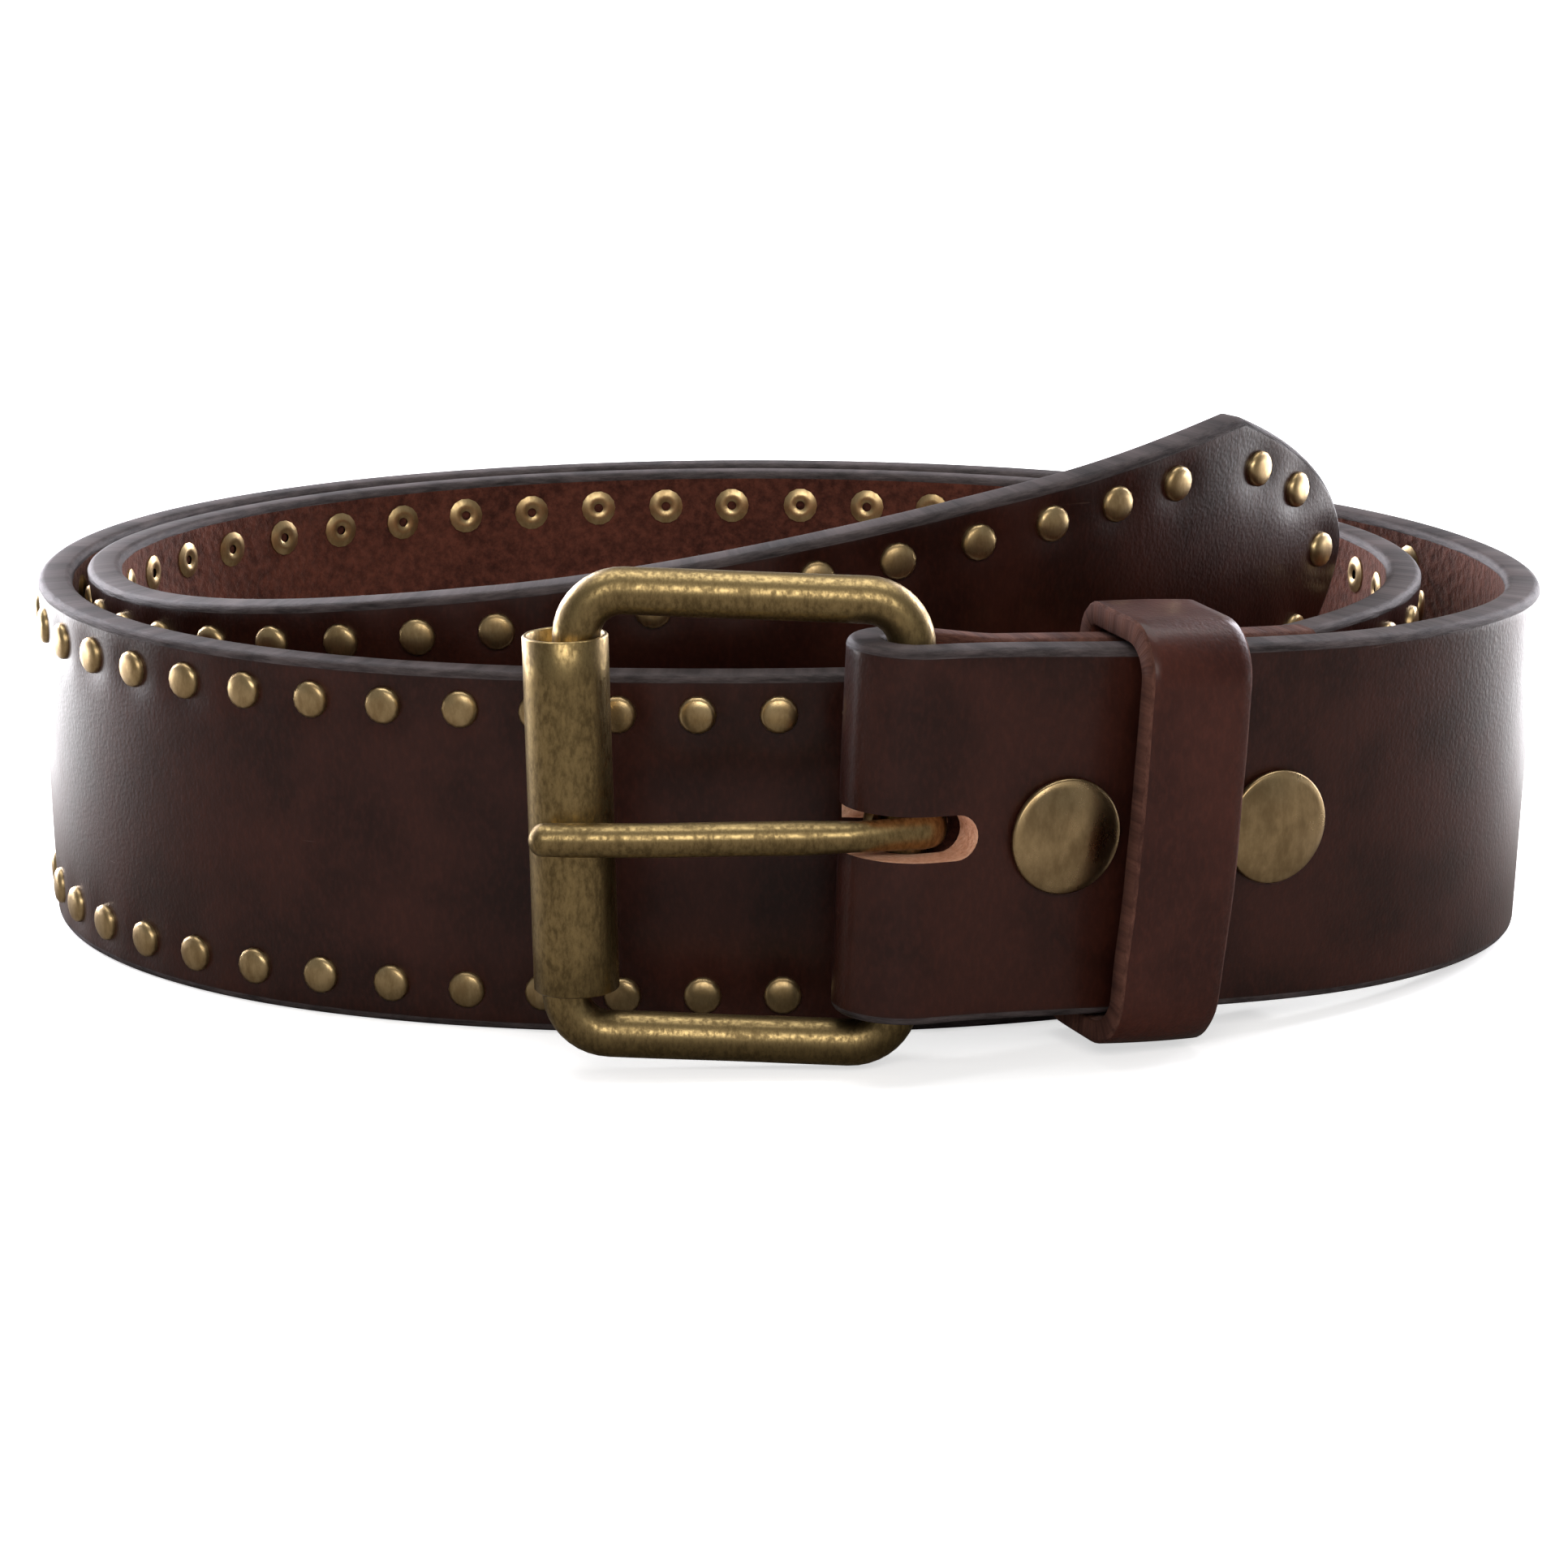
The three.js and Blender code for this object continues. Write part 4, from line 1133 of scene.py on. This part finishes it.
@dataclass
class Buckle:
    """The roller buckle: a bent wire frame, a loose roller and a prong."""

    strap: Strap
    wire: float = 2.5 * MM
    reach: float = 34.8 * MM
    height: float = 47.6 * MM
    corner: float = 4.8 * MM
    roller_outer: float = 4.5 * MM
    roller_inner: float = 3.95 * MM
    roller_length: float = 38 * MM
    roller_tilt: float = 3.6
    prong: float = 1.8 * MM
    eye: float = 0.75 * MM
    clearance: float = 0.3 * MM
    rest: float = 0.2 * MM
    tip_past: float = 2.6 * MM
    droop: float = 1.4 * MM

    def __post_init__(self) -> None:
        """Works out the buckle's own axes."""
        up = self.strap.fold_axes.across
        reach = np.array([-1.0, 0.0, 0.0]) + up * up[0]
        self.up = up
        self.out_reach = reach / np.linalg.norm(reach)
        front = np.cross(self.out_reach, up)
        self.front = front if front[1] < 0 else -front
        self.front = self.front / np.linalg.norm(self.front)

    def point(self, reach: float, up: float, front: float) -> np.ndarray:
        """A point by its distance from the heel bar's middle towards the roller, up and to the front."""
        return self.strap.heel + self.out_reach * reach + self.up * up + self.front * front

    def tube(self, name: str, places: list[tuple[np.ndarray, np.ndarray, np.ndarray]], sides: int) -> bpy.types.Object:
        """A round or flattened wire through places that each have a centre and two radius vectors."""
        turns = np.arange(sides) * 2 * math.pi / sides
        rings = [c + np.outer(np.cos(turns), u) + np.outer(np.sin(turns), v) for c, u, v in places]
        centres = np.array([c for c, _, _ in places])
        run = np.concatenate(([0.0], np.cumsum(np.linalg.norm(np.diff(centres, axis=0), axis=1))))
        girth = 2 * math.pi * float(np.linalg.norm(places[len(places) // 2][1]))
        return skin(name, np.array(rings), run, np.linspace(0, girth, sides + 1))

    def frame_wire(self) -> bpy.types.Object:
        """The frame, its two ends butted inside the roller."""
        high, butt, r = self.height / 2, 0.3 * MM, self.corner
        corners = [(self.reach, high), (0.0, high), (0.0, -high), (self.reach, -high)]
        ways = [(0, 1), (-1, 0), (0, -1), (1, 0), (0, 1)]
        stops: list[tuple[float, float, float, float]] = [(self.reach, butt, *ways[0])]
        for (reach, up), before, after in zip(corners, ways[:-1], ways[1:]):
            centre = (reach + (after[0] - before[0]) * r, up + (after[1] - before[1]) * r)
            steps = 10
            for k in range(steps + 1):
                a = math.pi / 2 * k / steps
                c, s = math.cos(a), math.sin(a)
                stops.append((
                    centre[0] + (before[0] * s - after[0] * c) * r,
                    centre[1] + (before[1] * s - after[1] * c) * r,
                    before[0] * c + after[0] * s,
                    before[1] * c + after[1] * s,
                ))
        stops.append((self.reach, -butt, *ways[4]))
        fine = []
        for (r0, u0, dx0, dy0), (r1, u1, dx1, dy1) in zip(stops[:-1], stops[1:]):
            pieces = max(1, round(math.hypot(r1 - r0, u1 - u0) / (1.6 * MM)))
            for k in range(pieces):
                t = k / pieces
                fine.append((r0 + (r1 - r0) * t, u0 + (u1 - u0) * t, dx0 + (dx1 - dx0) * t, dy0 + (dy1 - dy0) * t))
        fine.append(stops[-1])
        places = []
        for reach, up, dx, dy in fine:
            length = math.hypot(dx, dy)
            centre = self.point(reach, up, 0)
            worn = 1 + 0.012 * noise.noise(Vector(centre) * 160)
            across = self.out_reach * (dy / length) - self.up * (dx / length)
            places.append((centre, across * self.wire * worn, self.front * self.wire * worn))
        return self.tube("buckle_wire", places, 32)

    def roller(self) -> bpy.types.Object:
        """The roller: sheet brass rolled into a tube, with its seam behind."""
        lo, hi, half = self.roller_inner, self.roller_outer, self.roller_length / 2
        b = 0.18 * MM
        section = [(lo, -half + b), (lo + b, -half), (hi - b, -half), (hi, -half + b)]
        section += [(hi, -half + self.roller_length * k / 8) for k in range(1, 8)]
        section += [(hi, half - b), (hi - b, half), (lo + b, half), (lo, half - b)]
        section += [(lo, half - self.roller_length * k / 8) for k in range(1, 8)]
        seam, steps = math.radians(2.2), 72
        tilt = Matrix.Rotation(math.radians(self.roller_tilt), 3, Vector(self.front))
        up = np.array(tilt @ Vector(self.up))
        side = np.cross(up, self.front)
        centre = self.point(self.reach, 0, 0)
        rings = []
        angles = [seam + (2 * math.pi - 2 * seam) * k / steps for k in range(steps + 1)]
        for a in angles:
            ray = -self.front * math.cos(a) + side * math.sin(a)
            rings.append(np.array([centre + ray * r + up * h for r, h in section]))
        sides = [math.dist(p, q) for p, q in zip(section, section[1:] + section[:1])]
        lengths = np.concatenate(([0.0], np.cumsum(sides)))
        return skin("buckle_roller", np.array(rings), np.array(angles) * hi, lengths)

    def prong_wire(self) -> bpy.types.Object:
        """The prong: a flattened eye round the heel bar, a round shank and a blunt tip on the roller."""
        rest = self.roller_outer + self.rest + self.prong
        stops: list[tuple[np.ndarray, np.ndarray, float, float]] = []
        steps = 30
        for i in range(steps + 1):
            share = i / steps
            a = math.radians(215 - 280 * share)
            thick = self.eye * (1 + 0.2 * share)
            ray = -self.out_reach * math.cos(a) - self.front * math.sin(a)
            stops.append((self.strap.heel + ray * (self.wire + self.clearance + thick), ray, thick, self.prong))
        end = self.reach + self.tip_past
        shank = [(5, 5.3, 0.9), (10, 5.8, 1.0), (18, rest / MM - 0.35, 1.0), (27, rest / MM + 0.15, 1.0),
                 (self.reach / MM, rest / MM, 1.0), (end / MM, rest / MM - 0.15, 0.97)]
        curve = KnotCurve([(x, y) for x, y, _ in shank])
        xs = np.linspace(shank[0][0], shank[-1][0], 44)
        for x in xs:
            fall = -self.droop * x * MM / self.reach
            rise = math.atan2(float(curve(x + 0.05) - curve(x - 0.05)), 0.1)
            ray = self.front * math.cos(rise) - self.out_reach * math.sin(rise)
            share = float(np.interp(x, [p[0] for p in shank], [p[2] for p in shank]))
            stops.append((self.point(x * MM, fall, float(curve(x)) * MM), ray, self.prong * share, self.prong * share))
        nose = 1.55 * MM
        for k in range(1, 8):
            a = math.pi / 2 * k / 7.4
            x = end + nose * math.sin(a)
            size = self.prong * 0.97 * math.cos(a)
            fall = -self.droop * x / self.reach
            stops.append((self.point(x, fall, rest - 0.15 * MM - 0.05 * MM * k / 7), self.front, size, size))
        places = [(c, ray * thick, self.up * high) for c, ray, thick, high in stops]
        return self.tube("buckle_prong", places, 24)

    def build(self, finishes: Finishes) -> None:
        """Builds and dresses the frame, the roller and the prong."""
        for piece, body, node in (
            (self.frame_wire(), Body.BUCKLE, "buckle_frame"),
            (self.roller(), Body.ROLLER, "roller"),
            (self.prong_wire(), Body.PRONG, "prong"),
        ):
            smooth(piece, 50)
            finish_piece(piece, body, (finishes.buckle,), (node,))


# ---------------------------------------------------------------- keeper


@dataclass
class Keeper:
    """The leather keeper round both layers, and the two staples that close it behind."""

    route: Route
    station: float = 36 * MM
    width: float = 12 * MM
    thick: float = 2.6 * MM
    spare: float = 0.6 * MM
    ahead: float = 4.8 * MM
    bow: float = 0.9 * MM  # how far the middle of the front stands out past its corners
    behind: float = 7.15 * MM
    front_corner: float = 3.6 * MM
    back_corner: float = 1.0 * MM
    staple_wire: float = 0.35 * MM
    staple_span: float = 7 * MM
    staple_heights: tuple[float, float] = (-7 * MM, 7 * MM)
    staple_gap: float = 0.3 * MM

    def loop(self, grow: float) -> list[tuple[float, float]]:
        """The band's outline in (outwards, across), grown by a distance, from the lower back corner."""
        high = self.route.width / 2 + self.spare + grow
        lo, hi = -self.behind - grow, self.ahead + grow
        r, q = self.front_corner + grow, self.back_corner + grow
        run = [(lo + q + (hi - r - lo - q) * k / 4, -high) for k in range(4)]
        run += arc((hi - r, r - high), r, -90, 0, 10)
        run += [(hi, (r - high) * (1 - 2 * k / 14)) for k in range(1, 14)]
        run += arc((hi - r, high - r), r, 0, 90, 10)
        run += [(hi - r + (lo + q - hi + r) * k / 4, high) for k in range(1, 4)]
        run += arc((lo + q, high - q), q, 90, 180, 5)
        run += [(lo, (high - q) * (1 - 2 * k / 14)) for k in range(1, 14)]
        run += arc((lo + q, q - high), q, 180, 270, 5)[:-1]
        return run

    def band(self) -> bpy.types.Object:
        """The band: smooth leather outside, rough inside, with cut sides that aren't quite straight."""
        axes = self.route.axes(self.station)
        inner, outer = np.array(self.loop(0.0)), np.array(self.loop(self.thick))
        half, b = self.width / 2, 0.35 * MM
        rows = [(-half, b, 1), (-half + b, 0.0, 0)] + [(-half + self.width * k / 8, 0.0, 0) for k in range(1, 8)]
        rows += [(half - b, 0.0, 1), (half, b, 1)]
        ledge = 0.5 * b
        shape: list[tuple[float, float, int]] = [(along, 1 - inset / self.thick, mark) for along, inset, mark in rows]
        shape += [(half, ledge / self.thick, 1), (half - ledge, 0.0, 2)]
        shape += [(half - self.width * k / 8, 0.0, 2) for k in range(1, 8)]
        shape += [(-half + ledge, 0.0, 1), (-half, ledge / self.thick, 1)]
        rings = []
        run = np.concatenate(([0.0], np.cumsum(np.linalg.norm(np.diff(outer, axis=0), axis=1))))
        for k in range(len(outer)):
            points = []
            for along, level, _ in shape:
                o, a = inner[k] + (outer[k] - inner[k]) * level
                edge = abs(along) / half
                wander = 0.22 * MM * noise.noise(Vector((o * 120, a * 120, 5.0 if along > 0 else 9.0))) * edge**3
                crown = 0.12 * MM * (1 - edge**2) * level
                direction = outer[k] - inner[k]
                direction = direction / np.linalg.norm(direction)
                o, a = np.array([o, a]) - direction * (0.12 * MM * level - crown)
                swell = self.bow * max(0.0, 1 - (a / (self.route.width / 2)) ** 2) if o > 0 else 0.0
                points.append(axes.point(o + swell, a) + axes.along * (along + wander))
            rings.append(points)
        v = np.array([s[0] for s in shape] + [shape[0][0]])
        piece = skin("keeper_band", np.array(rings), np.append(run, run[-1] + 1 * MM), v, caps=False)
        index = np.tile(np.array([s[2] for s in shape]), len(rings)).astype(np.int32)
        piece.data.polygons.foreach_set("material_index", index)
        return piece

    def staples(self) -> bpy.types.Object:
        """Both staples, each a round wire with its crown behind the band and its legs in it."""
        axes = self.route.axes(self.station)
        w, half = self.staple_wire, self.staple_span / 2
        back = -self.behind - self.thick
        crown = back - self.staple_gap + w - 0.35 * MM
        foot = back + self.thick - 0.1 * MM
        bend = 0.6 * MM
        route = [(-half, foot), (-half, crown + bend)]
        route += arc((-half + bend, crown + bend), bend, 180, 270, 4)[1:]
        route += arc((half - bend, crown + bend), bend, 270, 360, 4)
        route += [(half, foot)]
        bm = bmesh.new()
        for height in self.staple_heights:
            rings = []
            for k, (y, z) in enumerate(route):
                y0, z0 = route[max(k - 1, 0)]
                y1, z1 = route[min(k + 1, len(route) - 1)]
                length = math.hypot(y1 - y0, z1 - z0)
                dy, dz = (y1 - y0) / length, (z1 - z0) / length
                turns = np.arange(10) * 2 * math.pi / 10
                centre = axes.point(z, height + y)
                normal = -axes.across * dz + axes.out * dy
                rings.append(centre + np.outer(np.cos(turns), normal * w) + np.outer(np.sin(turns), axes.along * w))
            part = skin("staple", np.array(rings), np.arange(float(len(rings))), np.linspace(0, 1, 11))
            smooth(part, 60)
            bm.from_mesh(part.data)
            bpy.data.objects.remove(part)
        mesh = bpy.data.meshes.new("keeper_staples")
        bm.to_mesh(mesh)
        bm.free()
        piece = bpy.data.objects.new("keeper_staples", mesh)
        bpy.context.scene.collection.objects.link(piece)
        return piece

    def build(self, finishes: Finishes) -> None:
        """Builds and dresses the band and its staples."""
        band = self.band()
        smooth(band, 50)
        leathers = (finishes.keeper, finishes.frayed, finishes.flesh)
        finish_piece(band, Body.KEEPER, leathers, ("keeper_loop",))
        staples = self.staples()
        nodes = ("keeper_staple_1", "keeper_staple_2")
        finish_piece(staples, Body.KEEPER, (finishes.steel,), nodes)


# ---------------------------------------------------------------- studio


@dataclass
class Bank:
    """A soft light: where it is, what it faces, its size, power and colour."""

    name: str
    at: tuple[float, float, float]
    size: tuple[float, float]
    power: float
    colour: RGB = (1.0, 1.0, 1.0)
    aim: tuple[float, float, float] = (0.0, 0.0, 0.03)

    def hang(self) -> None:
        """Makes the light."""
        lamp = bpy.data.lights.new(self.name, "AREA")
        lamp.shape = "RECTANGLE"
        lamp.size, lamp.size_y = self.size
        lamp.energy = self.power
        lamp.color = self.colour
        piece = bpy.data.objects.new(self.name, lamp)
        piece.location = self.at
        piece.rotation_euler = (Vector(self.aim) - Vector(self.at)).to_track_quat("-Z", "Y").to_euler()
        bpy.context.scene.collection.objects.link(piece)


@dataclass
class Studio:
    """A pale floor, soft light all round and a long-lens camera a little above the belt."""

    camera_at: tuple[float, float, float] = (0.26 * MM, -588.65 * MM, 165.1 * MM)
    pitch: float = 14.31
    roll: float = -0.67
    lens: float = 119.25

    def camera(self) -> None:
        """Makes the camera."""
        data = bpy.data.cameras.new("camera")
        data.lens = self.lens
        data.sensor_width = 36
        data.clip_start = 0.01
        piece = bpy.data.objects.new("camera", data)
        turn = Matrix.Rotation(math.radians(90 - self.pitch), 4, "X") @ Matrix.Rotation(math.radians(self.roll), 4, "Z")
        piece.matrix_world = Matrix.Translation(self.camera_at) @ turn
        bpy.context.scene.collection.objects.link(piece)
        bpy.context.scene.camera = piece

    def floor(self) -> None:
        """Makes the floor: pale to look at, dim in reflections in front and glowing in them beside and behind."""
        size = 12.0
        corners = np.array([(-size, -size, 0), (size, -size, 0), (size, size, 0), (-size, size, 0)])
        piece = mesh_object("floor", corners, [(0, 1, 2, 3)])
        material, n, shader = start_material("floor_pale")
        light = n.add("ShaderNodeLightPath")
        seen = light.outputs["Is Glossy Ray"]
        at = n.add("ShaderNodeSeparateXYZ", {0: n.add("ShaderNodeTexCoord").outputs["Object"]})
        beside = n.ramp(n.math("ABSOLUTE", at.outputs[0]), 0.085, 0.125)
        behind = n.math("MULTIPLY", n.ramp(at.outputs[1], -0.02, 0.22), beside)
        mirrored = n.blend(behind, (0.24, 0.22, 0.2), (0.9, 0.86, 0.97))
        n.put(shader.inputs["Base Color"], n.blend(seen, (0.93, 0.93, 0.935), mirrored))
        n.put(shader.inputs["Roughness"], 0.9)
        n.put(shader.inputs["Specular IOR Level"], 0.0)
        n.put(shader.inputs["Emission Color"], (1.0, 1.0, 1.0))
        glow = n.math("MULTIPLY", n.math("MULTIPLY", seen, behind), 8.5)
        n.put(shader.inputs["Emission Strength"], n.math("MULTIPLY_ADD", light.outputs["Is Camera Ray"], 0.6, glow))
        piece.data.materials.append(material)

    def build(self) -> None:
        """Makes the camera, the floor, the lights and the surroundings."""
        self.camera()
        self.floor()
        lavender = (0.94, 0.92, 1.0)
        for bank in (
            Bank("left_bank", (-1.1, 1.35, 0.5), (1.2, 1.1), 75, lavender),
            Bank("right_bank", (1.2, 1.25, 0.5), (1.2, 1.1), 50, lavender),
            Bank("top_bank", (0.0, 0.25, 1.4), (1.6, 1.0), 16),
            Bank("front_key", (0.1, -1.5, 0.9), (1.3, 0.5), 11, (1.0, 0.97, 0.93)),
        ):
            bank.hang()
        world = bpy.data.worlds.new("surroundings")
        world.use_nodes = True
        world.node_tree.nodes["Background"].inputs[0].default_value = (1.0, 0.97, 0.95, 1.0)
        world.node_tree.nodes["Background"].inputs[1].default_value = 0.24
        bpy.context.scene.world = world
        bpy.context.scene.view_settings.view_transform = "Standard"


def main() -> None:
    """Builds the belt in its studio, sub-assembly by sub-assembly."""
    logging.basicConfig(level=logging.INFO, format="%(name)s: %(message)s")
    Studio().build()
    finishes = Finishes()
    route = Route()
    strap = Strap(route, RivetRows(route))
    strap.build(finishes)
    EdgeRivets(strap).build(finishes)
    PressStuds(strap).build(finishes)
    Buckle(strap).build(finishes)
    Keeper(route).build(finishes)


if __name__ == "__main__":
    main()
